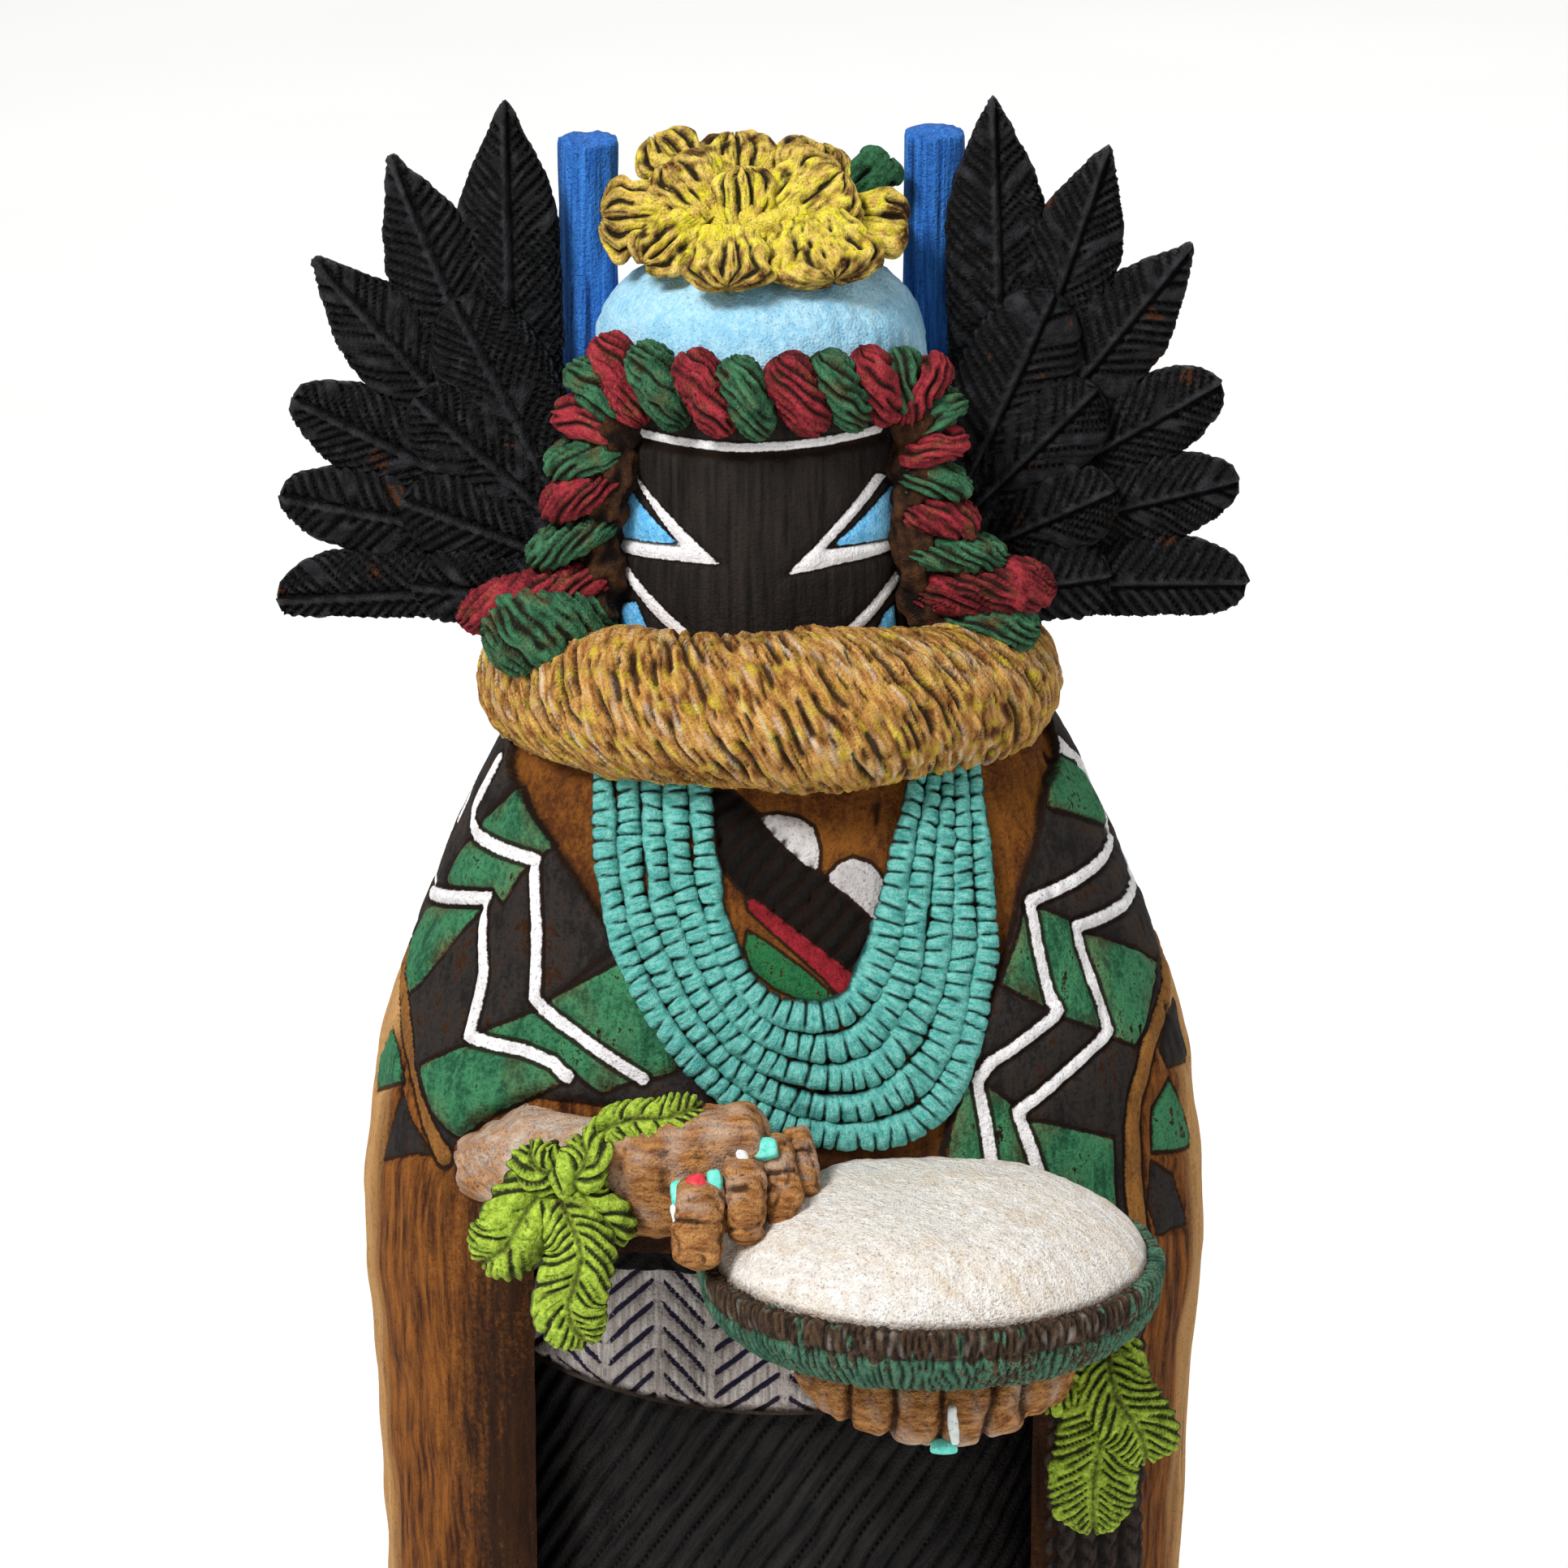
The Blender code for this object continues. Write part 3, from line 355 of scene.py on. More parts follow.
WHITE_LINES = [
    [(-39.9, 199.1), (-43.5, 193.2), (-42.2, 191.2), (-29.7, 190.6), (-29.0, 183.5), (-28.9, 175.8),
     (-28.1, 175.0), (-15.9, 168.0)],
    [(-56.8, 181.8), (-36.8, 185.5), (-37.2, 184.5), (-36.4, 177.8), (-37.4, 170.4), (-30.0, 170.1),
     (-26.3, 169.2), (-24.5, 167.7)],
    [(39.8, 200.8), (49.1, 196.0), (51.0, 191.8), (48.4, 189.3), (29.3, 186.4), (29.7, 181.8),
     (31.2, 175.8), (32.3, 173.9), (23.3, 169.1), (22.1, 167.3), (23.1, 162.1), (24.0, 155.0)],
    [(56.8, 183.3), (35.8, 182.6), (36.1, 180.4), (38.6, 174.0), (39.6, 170.6), (36.2, 169.0),
     (27.0, 163.5), (27.8, 160.9), (30.3, 154.0)],
]
GREEN_PATCHES = [
    [(-42.1, 191.6), (-39.8, 193.5), (-33.3, 197.8), (-31.2, 195.6), (-26.9, 192.3), (-29.7, 190.6)],
    [(-42.8, 190.6), (-30.2, 190.4), (-34.0, 185.2), (-36.2, 186.4), (-48.7, 184.4), (-46.5, 187.9)],
    [(-53.4, 181.6), (-37.5, 184.4), (-38.9, 182.6), (-48.2, 174.0), (-51.3, 172.1), (-54.8, 173.8),
     (-56.4, 177.7)],
    [(-28.1, 175.3), (-26.4, 176.5), (-19.0, 180.6), (-18.9, 182.8), (-16.8, 180.0), (-11.9, 171.9),
     (-11.9, 168.9), (-15.6, 167.7)],
    [(-37.0, 170.3), (-35.5, 171.6), (-29.4, 174.3), (-28.1, 174.9), (-16.5, 167.8), (-20.5, 166.1),
     (-24.0, 168.2), (-30.0, 170.1)],
    [(-44.6, 166.0), (-38.2, 169.4), (-35.8, 170.3), (-30.0, 170.0), (-26.3, 169.0), (-24.3, 167.3),
     (-28.3, 165.1), (-33.8, 162.3), (-36.9, 160.0), (-38.8, 158.7), (-42.0, 161.0)],
    [(37.9, 200.2), (43.4, 199.1), (50.7, 192.9), (49.0, 189.9), (32.8, 195.7), (34.2, 198.6)],
    [(29.5, 186.0), (30.6, 185.5), (35.4, 183.2), (35.9, 180.8), (38.6, 174.0), (38.8, 170.6),
     (33.1, 173.1), (31.8, 174.3), (29.9, 181.7)],
    [(23.1, 166.9), (26.4, 164.5), (27.4, 161.6), (29.8, 154.4), (24.0, 154.9), (22.7, 162.8)],
    [(28.6, 186.8), (29.9, 181.0), (31.2, 174.8), (30.5, 174.5), (24.7, 177.8), (27.4, 183.5)],
    [(21.9, 168.1), (22.7, 162.1), (23.9, 153.9), (17.4, 153.9), (18.8, 162.4), (20.7, 167.4)],
    [(36.3, 182.2), (39.1, 181.2), (54.2, 175.2), (51.2, 174.1), (43.7, 168.1), (39.8, 170.0),
     (38.7, 174.7), (36.4, 180.4)],
    [(27.4, 162.4), (30.1, 162.1), (39.6, 158.9), (40.4, 147.3), (30, 147.0), (29.6, 154.0)],
    [(-55.4, 167.7), (-51.0, 166.0), (-49.2, 163.0), (-60.1, 159.3), (-60.8, 163.5)],
    [(50.5, 163.3), (57.3, 155.1), (56.4, 153.8), (46.2, 155.7), (46.6, 160.7)],
]
BLACK_PATCHES = [
    [(-49.9, 162.1), (-46.6, 159.0), (-43.0, 156.1), (-46.1, 155.7), (-53.8, 153.0), (-51.4, 158.7)],
    [(60.7, 170.2), (60.3, 167.2), (61.4, 162.6), (50.5, 164.4), (49.1, 166.7), (52.3, 169.6)],
    [(45.9, 155.0), (50.5, 152.2), (54.2, 145.6), (46.7, 146.1), (44.9, 150.1)],
]
CUTS = [[(-34.1, 197.8), (-39.8, 193.5)], [(-26.4, 176.5), (-18.9, 182.3)], [(34.2, 195.0), (49, 190)]]
# The chest inside the neck opening: a ribbed black band, a red line, a green field and two discs.
CHEST_BAND = [(-8.6, 199.8), (-5.9, 199.9), (-3.0, 197.5), (10.9, 184.9), (9.4, 181.8), (8.2, 179.0),
              (-5.3, 189.3), (-7.1, 191.3), (-8.0, 196.1)]
CHEST_RED = [(-4.6, 188.5), (-3.0, 188.2), (7.9, 180.0), (8.7, 177.8), (6.4, 177.1), (4.4, 179.3),
             (-4.1, 186.8)]
CHEST_GREEN = [(-4.3, 184.8), (-1.8, 183.4), (2.6, 180.2), (6.7, 176.7), (3.2, 176.3), (-1.2, 178.2),
               (-3.6, 180.2), (-4.6, 182.5)]
CHEST_DISCS = [
    [(-3.3, 197.2), (-0.6, 197.5), (1.7, 197.1), (3.5, 195.9), (4.2, 193.6), (4.1, 190.9), (2.3, 191.6),
     (-1.2, 194.7)],
    [(4.8, 190.7), (6.2, 192.1), (7.9, 192.7), (10.0, 192.0), (11.5, 190.3), (11.9, 188.0), (11.0, 184.9),
     (9.4, 186.3), (7.3, 188.2), (5.1, 189.7)],
]

RECESS_TURN = math.radians(37)


def robe_surface(turn, height):
    """The robe's surface over some heights, with the cape's carving and the chest within it."""
    width, depth = robe_size(height[:, None])
    share = RECESS_HALF_WIDTH / width
    edge = np.arctan2(share, (1 - share**SECTION_POWER) ** (1 / SECTION_POWER))
    side = np.abs(turn)[None]
    warped = np.where(side < RECESS_TURN, side * edge / RECESS_TURN,
                      edge + (side - RECESS_TURN) * (math.pi / 2 - edge) / (math.pi / 2 - RECESS_TURN))
    warped = np.where(side > math.pi / 2, side, warped) * np.sign(turn)
    robe = section(width, depth, warped, height[:, None])
    step = np.linalg.norm(np.diff(robe, axis=1), axis=2)
    around = np.concatenate([np.zeros((len(height), 1)), np.cumsum(step, 1)], 1)
    around -= around[:, [int(np.argmin(np.abs(turn)))]]
    up = robe[..., 2]

    def patches(shapes):
        return np.maximum.reduce([outline(around, up, shape) for shape in shapes])

    def lines(paths):
        return np.minimum.reduce([stroke(around, up, path) for path in paths])

    neck = patches([NECK])
    cape = np.minimum(patches([CAPE]), -neck)
    white = lines(WHITE_LINES)
    back = np.where(warped < 0, warped + math.tau, warped) * 41.7
    zigzag = [(66 + 13.1 * k, (183.5, 190.5)[k % 2]) for k in range(11)]
    behind = (back > 64) & (back < 198)
    white = np.where(behind, np.minimum(white, stroke(back, up, zigzag)), white)
    white = np.where(behind, np.minimum(white, stroke(back, up, [(a, z + 7) for a, z in zigzag])), white)
    green = patches(GREEN_PATCHES)
    for a, _ in zigzag[1:10:2]:
        tooth = [(a - 12, 183.2), (a + 12, 183.2), (a, 189.5)]
        drop = [(a - 5, 176), (a + 5, 176), (a, 169)]
        for corners in (tooth, drop):
            green = np.where(behind, np.maximum(green, outline(back, up, corners)), green)
    black = patches(BLACK_PATCHES)
    border = 1.6 - lines(BORDERS)
    chest = ([CHEST_BAND], [CHEST_RED], [CHEST_GREEN], CHEST_DISCS)
    band, red, field, disc = (patches(shapes) for shapes in chest)
    rib = ((around * 0.74 - up * 0.67) + 0.5 * rough(robe, 9, 3)) / 2.0
    ribs = mark((rib - np.round(rib)) * 2.0, 0.42) * smooth(band, -0.1, 0.3)

    on_cape = smooth(cape, -0.4, 0.4)
    scored = lines(CUTS)
    groove = np.minimum.reduce([np.abs(green), np.abs(black), np.abs(border), scored])
    groove = mark(groove, 0.45) * smooth(-neck, -0.3, 0.4)
    beside = mark(white - 1.0, 0.42) * on_cape
    chest_cut = np.minimum.reduce([np.abs(band), np.abs(red), np.abs(field), np.abs(disc)])
    chest_cut = mark(chest_cut, 0.36) * smooth(neck, 0, 0.6)
    sink = smooth(neck, -0.35, 0.55)
    grain = rough(robe * (1, 1, 0.12), 2.2, 5)
    checks = rough(robe * (1, 1, 0.045), 2.8, 7)
    sleeve = mark(stroke(around, up, [(-43, 164), (-30, 164), (-22, 163)]), 5.5) * smooth(cape, -0.3, 1.5)
    recess_lip = smooth(RECESS_HALF_WIDTH + 3.0 - np.abs(robe[..., 0]), 0, 3.0)
    recess_lip = recess_lip * smooth(RECESS_TOP - up, -1, 1)
    relief = -ROBE_THICKNESS * sink - 0.5 * groove - 0.5 * beside - 0.5 * chest_cut - 0.75 * ribs
    relief += 0.10 * grain + 0.18 * rough(robe, 11, 6) + 1.6 * sleeve - 0.35 * smooth(checks, 1.15, 1.6)
    relief -= 1.9 * recess_lip**2 * (robe[..., 1] < 0)
    after = np.roll(robe, -1, 1)[:-1]
    mid = (np.abs(robe[:-1, :, 0]) < RECESS_HALF_WIDTH - 0.05) & (robe[:-1, :, 1] < 0)
    mid &= np.abs(after[..., 0]) < RECESS_HALF_WIDTH + 0.05
    mid |= (np.abs(after[..., 0]) < RECESS_HALF_WIDTH - 0.05) & (after[..., 1] < 0)
    keep = ~(mid & (height[:-1, None] < RECESS_TOP - 0.01))
    shadow = smooth(0.9 - np.abs(neck), 0, 0.9) * (neck > -0.4) * 0.75
    # Shade is painted darkest towards the recess and under the cape's hem; stain is rubbed dark into the
    # drying checks.
    front = robe[..., 1] < 0
    recess_shade = mark(np.maximum(np.abs(robe[..., 0]) - 31.3, 0), 6.5) * smooth(168 - up, 0, 14) * front
    bare = 1 - on_cape
    cut = np.maximum.reduce([
        0.9 * ribs, shadow, bare * (0.78 * recess_shade + 0.14 * grain), 0.45 * smooth(grain, 0.9, 1.6) * bare,
        0.95 * smooth(checks, 1.1, 1.5) * bare, 0.9 * mark(scored, 0.4),
    ])
    tan = 0.8 * (np.abs(robe[..., 0]) - width + 1.7) + 0.45 * rough(robe * (1, 1, 0.06), 4, 9)
    worn = 0.5 * rough(robe, 6, 10) + 0.7 * mark(green, 1.2) - 0.8
    return sheet(
        robe, relief, caps=False, keep=keep, cape=np.maximum(np.minimum(cape, 5), black), green=green,
        white=np.where(cape > -0.6, 0.92 - white, -1), border=np.minimum(border, -neck), chest=neck,
        band=np.where(neck > 0, band, -1), red=np.where(neck > 0, red, -1),
        field=np.where(neck > 0, field, -1), disc=np.where(neck > 0, disc, -1),
        cut=cut, tan=tan, rub=np.where((cape > 0) & (green > 0), worn, -9),
    )


# The outer turns are few behind, where there is little to see, and close in front.
SIDE_TURN = 1.75


def turns(behind, side, middle):
    """Turns round the robe, by how many lie on each half of the back, on each side and in front."""
    stops = (-math.pi, -SIDE_TURN, -RECESS_TURN, RECESS_TURN, SIDE_TURN, math.pi)
    counts = (behind, side, middle, side, behind)
    return np.concatenate([np.linspace(a, b, n, endpoint=False) for a, b, n in zip(stops, stops[1:], counts)])


ROBE_FOOT = 8.3
CAPE_FOOT = 140
panels = [robe_surface(turns(30, 54, 40), np.linspace(ROBE_FOOT, CAPE_FOOT, 112))]
# The sides of the recess, from its front edges back to the dress.
for sign in (-1, 1):
    z = np.linspace(ROBE_FOOT, RECESS_TOP, 80)[:, None]
    front = front_of(*robe_size(z), RECESS_HALF_WIDTH) + 1.7
    run = np.linspace(1, 0, 18)[None] if sign < 0 else np.linspace(0, 1, 18)[None]
    wall = spread(sign * RECESS_HALF_WIDTH, front + (-8.0 - front) * run, z)
    bumps = 0.10 * rough(wall * (1, 1, 0.1), 3, 8)
    # The walls are darkened more the further back they go: painted shade inside the recess.
    deep = 0.45 + 0.5 * smooth(run, 0.0, 0.5)
    blank = dict.fromkeys("cape green white border chest band red field disc tan rub".split(), -9.0)
    panels.append(sheet(wall, bumps, wrap=False, cut=deep, **blank))

# Cottonwood with brown oil stain, and matte paint brushed over the cape: the stain pools in every
# cut, the same dark is painted as shade towards the recess and under the cape's hem, the black is
# thin enough to show pores, and the white lines stay solid.
robe_finish = finish(
    "stained_and_painted_cottonwood", ("#3c1d0c", "#8c5523"),
    [("tan", "#a87a46", "#d2a76e", 0.3, 0.0), ("chest", "#4f2a10", "#7d4c1c", 0.6, 0.0),
     ("cape", "#1b1817", "#35302d", 0.32, 0.2), ("border", "#6e4823", "#93632f", 0.5, 0.3),
     ("green", "#1d4d35", "#44865c", 0.38, 0.28), ("rub", "#4a2f1a", "#7a5530", 0.2, 0.0),
     ("field", "#174a2c", "#2a6f40", 0.4, 0.2), ("band", "#0c0a09", "#191512", 0.5, 0.2),
     ("red", "#64141a", "#94242e", 0.5, 0.2), ("disc", "#a9a3a2", "#cdc8c7", 0.7, 0.25),
     ("white", "#d6d2d3", "#f4f2f2", 0.6, 0.26)],
    soft=("rub", "tan"), gloss=0.1, grain=(900, 900, 120),
)
carve("robe_carving", panels, robe_finish, "figure")
cape = robe_surface(turns(30, 82, 104), np.linspace(CAPE_FOOT, ROBE_TOP, 156))
carve("cape_carving", [cape], robe_finish, "figure")


# Dress, overskirt and boots
# Inside the recess: a black dress with gouged slanting ribs, a white overskirt whose herringbone is
# incised and painted dark blue, and two plain whitewashed boots that the photograph doesn't show.
DRESS_SIZE = (34.0, 25.0)
DRESS_HEM = 18.0
turn = np.linspace(-1.25, 1.25, 180)[None]
up = np.linspace(DRESS_HEM, 136, 180)[:, None]
dress = section(*DRESS_SIZE, turn, up)
across = np.cumsum(np.r_[0, np.linalg.norm(np.diff(dress[0], axis=0), axis=1)])
across = (across - across.mean())[None]
phase = (across * 0.82 - up * 0.57) / 2.35 + 0.10 * rough(dress, 14, 11)
ridge = np.abs(np.sin(phase * math.pi)) ** 0.7
form = sheet(dress, 1.1 * ridge - 0.7 + 0.12 * rough(dress, 4, 12), wrap=False,
             cut=smooth(0.66 - ridge, 0, 0.5), lay=spread(phase * 2.5, up + across, 0.0))
# The hem's underside is darkened as painted shade.
hem_in = section(24.0, 16.0, turn, DRESS_HEM + 0.3)
hem = sheet(np.concatenate([hem_in, section(*DRESS_SIZE, turn, DRESS_HEM)]), wrap=False, cut=0.5)
# Black paint over gouged wood, made darker still as painted shade inside the recess: a faint shine on the
# ridges, and painted shade pitch dark between them.
dress_finish = finish("black_painted_gouged_wood", ("#0b0a0a", "#262322"), lay=(1.2, 0.08, 1),
                      stain_and_shade="#020101", roughness=0.55, wash=0.97, gloss=0.12)
carve("dress_carving", [form, hem], dress_finish, "figure")

turn = np.linspace(-1.35, 1.35, 200)[None]
share = np.linspace(0, 1, 60)[:, None]
hem = 127.5 + 7.0 * np.sin(turn) ** 2
up = hem + (146.6 - hem) * share
skirt = section(36.4, 27.4, turn, up)
x = skirt[..., 0]
peaks = np.array([-33, -26.5, -20.5, -14.3, -8.4, 0, 7.6, 15, 23, 31])
chevron = np.interp(x, peaks, [(0, 6.2)[k % 2] for k in range(len(peaks))])
phase = (up - chevron) / 2.75 + 0.05 * rough(skirt, 6, 13)
strip = np.min(np.abs(x[..., None] - peaks), -1)
dash = 0.42 - np.abs(phase - np.round(phase)) * 2.75 - 0.5 * smooth(0.9 - strip, 0, 0.9)
low_edge = smooth(0.1 - share, 0, 0.1) + 0 * x
relief = -0.55 * smooth(dash, -0.25, 0.25) - 1.2 * low_edge + 0.1 * rough(skirt * (1, 1, 0.3), 2, 14)
# The skirt's top is painted near black above a slanting line, where the arms leave it in the dark.
hole = np.minimum(up - 144.2 - 0.22 * np.maximum(x + 10, 0), 3) + 0.3 * rough(skirt, 5, 16)
# Along its lowest band, where it turns under, the skirt is darkened as painted shade.
form = sheet(skirt, relief, wrap=False, dash=dash, cut=0.55 * low_edge, hole=hole)
# Its underside is darkened as painted shade.
under = np.concatenate([section(33.0, 24.0, turn, hem + 0.4), section(36.0, 27.0, turn, hem)])
under = sheet(under, wrap=False, cut=0.8, dash=-9.0, hole=-9.0)
# Greyed whitewash with the grain showing through, dark blue in the incised strokes, and a near-black painted
# shadow at the top.
skirt_finish = finish("whitewashed_incised_wood", ("#80746d", "#bdb5b1"),
                      [("dash", "#17132c", "#262038", 0.6, 0.0), ("hole", "#050403", "#0b0807", 0.8, 0.0)],
                      stain_and_shade="#3b2a1e", grain=(1900, 1900, 130))
carve("overskirt_carving", [form, under], skirt_finish, "figure")

boots = []
for sign in (-1, 1):
    turn = np.linspace(0, math.tau, 60, endpoint=False)[None]
    share = np.linspace(0, 1, 26)[:, None]
    swell = np.sqrt(np.maximum(1 - share**2.4, 0.0004))
    z = 8.35 + 10.6 * share
    boot = spread(sign * 9 + 7 * swell * np.cos(turn), -15.4 + 11.4 * swell * np.sin(turn), z)
    welt = 0.3 * smooth(0.13 - share, 0, 0.05)
    boots.append(sheet(boot, welt + 0.12 * rough(boot, 4, 15), cut=0.8 * mark(share - 0.14, 0.035)))
# Thin whitewash with brown left in the pores.
boot_finish = finish("whitewashed_wood", ("#9c8d80", "#cfc6bd"), stain_and_shade="#3b2a1e")
carve("boots_carving", boots, boot_finish, "figure")


# Head
# The case mask: a drum with a domed top, cut from the same block. Black stain with the wood's grain
# showing, incised eyes filled with light blue and edged with white, and a light blue cap.
HEAD = (-2.6, -1.0)
HEAD_RADIUS = 18.8
FACE_TURN = 1.35
CAP_EDGE = 243.0
CAP_RISE = 15.0
front_turns = np.linspace(-FACE_TURN, FACE_TURN, 116, endpoint=False)
turn = np.r_[front_turns, np.linspace(FACE_TURN, math.tau - FACE_TURN, 60, endpoint=False)][None]
dome_rise = CAP_EDGE + CAP_RISE * np.sin(np.linspace(0, 1.53, 34))
rise = np.r_[np.linspace(204, CAP_EDGE, 76, endpoint=False), dome_rise][:, None]
dome = np.clip((rise - CAP_EDGE) / CAP_RISE, 0, 1)
radius = HEAD_RADIUS * np.sqrt(np.maximum(1 - dome**3, 0.0002))
head = spread(HEAD[0] + radius * np.sin(turn), HEAD[1] - radius * np.cos(turn), rise)
a = np.where(turn > math.pi, turn - math.tau, turn) * HEAD_RADIUS + 0 * rise
up = rise + 0 * turn
brow = np.interp(a, [-15, -7.3, -2.6, 2.3, 7.4, 14.8], [238.3, 237.9, 237.7, 237.9, 238.2, 238.8])
face_white = np.maximum.reduce([
    0.62 - np.abs(up - brow) - np.where(np.abs(a) > 15.5, 9, 0),
    outline(a, up, [(-17.5, 234.3), (-15.9, 233.6), (-4.3, 224.3), (-9.3, 224.3), (-19.5, 224.0),
                    (-19.5, 225.9), (-9.9, 226.3)]),
    outline(a, up, [(16.4, 233.4), (14.4, 234.0), (2.5, 223.1), (9.5, 224.0), (18.5, 224.6),
                    (18.5, 226.3), (7.6, 226.0)]),
    0.85 - stroke(a, up, [(-17.9, 222.0), (-9.4, 216.2)]),
    0.85 - stroke(a, up, [(18.3, 221.3), (9.6, 215.4)]),
])
face_blue = np.maximum.reduce([
    outline(a, up, [(-20.5, 231.4), (-16.6, 231.4), (-9.5, 226.2), (-20.5, 225.6)]),
    outline(a, up, [(16.8, 232.1), (18.8, 232.1), (18.8, 225.9), (8.0, 226.1)]),
    outline(a, up, [(-19.5, 218.2), (-16.1, 219.0), (-12.0, 213.0), (-19.5, 213.0)]),
    outline(a, up, [(18.0, 218.5), (16.0, 217.8), (13.0, 213.6), (18.5, 213.6)]),
])
eye_gap = mark(face_blue, 0.42) + mark(face_white, 0.4)
under_brow = mark(up - brow + 1.1, 0.45) * (np.abs(a) < 16)
streaks = rough(head * (1, 1, 0.08), 1.3, 21)
on_face = smooth(CAP_EDGE - up, 0, 2)
cap = up - CAP_EDGE - 0.4 * rough(head, 9, 22)
stipple = 0.10 * rough(head, 1.5, 25) + 0.08 * rough(head, 2.4, 26) + 0.12 * rough(head, 6, 23)
relief = -0.4 * np.minimum(eye_gap, 1) * on_face - 0.5 * under_brow + 0.05 * streaks + stipple * (1 - on_face)
# The cap's top, round and under the crown, is darkened as painted shade.
shade_under_crown = smooth(up - 256.3 - 1.2 * rough(head, 7, 24), -2.0, 1.5) * 0.75
form = sheet(head, relief, cap=cap, white=np.where(up < 242, face_white, -9),
             blue=np.where(up < 242, face_blue, -9), cut=np.maximum(under_brow, shade_under_crown))
# Black stain that lets the upright grain through, against matte chalky blue and white paint.
mask_finish = finish(
    "black_stained_wood_mask", ("#13110f", "#2c2623"),
    [("cap", "#8cc4e0", "#b4ddef", 0.62, 0.0), ("white", "#dedadb", "#f6f4f4", 0.6, 0.14),
     ("blue", "#4fa5dc", "#8ad0f4", 0.7, 0.16)],
    stain_and_shade="#180c06", grain=(1100, 1100, 90), roughness=0.78, pores=0.35, gloss=0.1,
)
carve("mask_carving", [form], mask_finish, "figure")


# Ruff
# A thick roll of spruce round the neck, carved as a ring and gouged with slanting strokes; ochre
# paint dry-brushed with white, yellow and brown.

# The columns stand close in front and far apart behind.
turn = np.linspace(-math.pi, math.pi, 540, endpoint=False)[None]
turn = turn - 0.5 * np.sin(turn)
girth = np.linspace(-math.pi, math.pi, 77)[:, None]
girth = girth - 0.45 * np.sin(girth)
RUFF_RADIUS = 8.7
minor = RUFF_RADIUS * (1 + 0.04 * np.sin(3 * turn + 1) + 0.03 * np.sin(7 * turn))
out = minor * np.cos(girth)
tilt = math.radians(-3.5)
x, y, z = (24.6 + out) * np.sin(turn), -(22.3 + out) * np.cos(turn), minor * np.sin(girth)
ruff = spread(-1.2 + x, -1.5 + y * math.cos(tilt) - z * math.sin(tilt),
              207.4 + y * math.sin(tilt) + z * math.cos(tilt))


def gouges(phase, pitch, width, place, length, seed, share=0.0):
    """Short gouge marks along the whole numbers of phase, broken off at uneven places."""
    row = np.round(phase)
    broken = rough(spread(place, row * 7.3, 0.0), length, seed)
    return mark((phase - row) * pitch, width) * smooth(broken, share - 0.25, share + 0.25)


across = turn * 31 + girth * RUFF_RADIUS * 0.50
along = girth * RUFF_RADIUS - turn * 12
bend = 0.35 * rough(ruff, 15, 31) + 0.10 * rough(ruff, 5, 32)
furrow = gouges(across / 2.3 + bend, 2.3, 0.42, along, 6.5, 33, 0.15)
nick = gouges(across / 1.15 + 1.6 * bend, 1.15, 0.22, along, 3.5, 35, 0.3)
streak = [rough(spread(across * 2.1, along * 0.6, 9.0 * k), 2.2, 36 + k) for k in range(3)]
form = sheet(ruff, -furrow - 0.5 * nick + 0.2 * rough(ruff, 3.4, 38) + 0.10 * streak[0], caps=False,
             cut=np.maximum(furrow, 0.85 * nick), pale=1.2 * streak[0] - 0.95, yellow=1.2 * streak[1] - 0.7,
             brown=1.2 * streak[2] - 0.4 * streak[0] - 0.15, lay=spread(across, along, 0.0))
# Ochre paint, dry and streaky along the strokes, with dark stain left at their bottoms.
ruff_finish = finish(
    "ochre_drybrushed_wood", ("#a2652a", "#e4b263"),
    [("brown", "#5a2f10", "#8a531e", 0.3, 0.0), ("yellow", "#d6be2c", "#f6e64a", 0.1, 0.0),
     ("pale", "#e6d8be", "#fbf7ef", 0.06, 0.0)],
    lay=(1.6, 0.32, 1), stain_and_shade="#28150a", relief=0.0004, soft=("brown", "yellow", "pale"),
)
carve("ruff_carving", [form], ruff_finish, "figure")


# Yarn wreath
# A twist of red and green yarn round the face: 23 lobes left standing on a dark core, each gouged
# with the slanting lay of its strands. Green and red follow each other from the right cheek.
FRONT = np.array([0.0, -1.0, 0.0])
# Across and up at each lobe's outer end and inner end, and its half width.
WREATH = [
    ((-33.8, 214.4), (-19.2, 217.0), 5.0), ((-36.6, 216.4), (-18.9, 221.9), 2.8),
    ((-28.4, 223.5), (-18.8, 227.9), 2.2), ((-26.5, 229.3), (-17.7, 233.2), 2.4),
    ((-25.8, 234.4), (-17.7, 235.8), 2.4), ((-24.8, 240.6), (-18.3, 237.1), 2.3),
    ((-23.2, 245.6), (-18.3, 239.0), 2.3), ((-20.0, 248.4), (-15.8, 239.5), 2.7),
    ((-15.9, 248.4), (-11.5, 239.6), 2.7), ((-10.8, 248.3), (-6.3, 239.4), 2.7),
    ((-5.9, 248.0), (-2.3, 239.3), 2.6), ((-0.7, 248.3), (3.7, 239.7), 2.9),
    ((3.9, 248.5), (8.4, 240.0), 2.6), ((8.4, 248.6), (11.6, 240.2), 2.4),
    ((13.2, 247.7), (13.2, 240.5), 2.0), ((17.5, 246.1), (12.8, 239.0), 2.2),
    ((19.5, 242.0), (14.4, 237.4), 1.9), ((19.5, 237.4), (12.8, 234.8), 2.0),
    ((19.8, 232.1), (12.8, 232.8), 2.1), ((21.1, 227.5), (12.8, 229.5), 2.5),
    ((24.8, 223.8), (13.3, 224.5), 2.1), ((30.5, 220.3), (13.8, 219.5), 3.2),
    ((28.7, 215.6), (16.0, 214.9), 3.0),
]


def angles(count):
    """Angles round a path, twice as close in front as they would be evenly spaced."""
    angle = np.linspace(-math.pi, math.pi, count, endpoint=False)
    return angle - 0.5 * np.sin(angle)


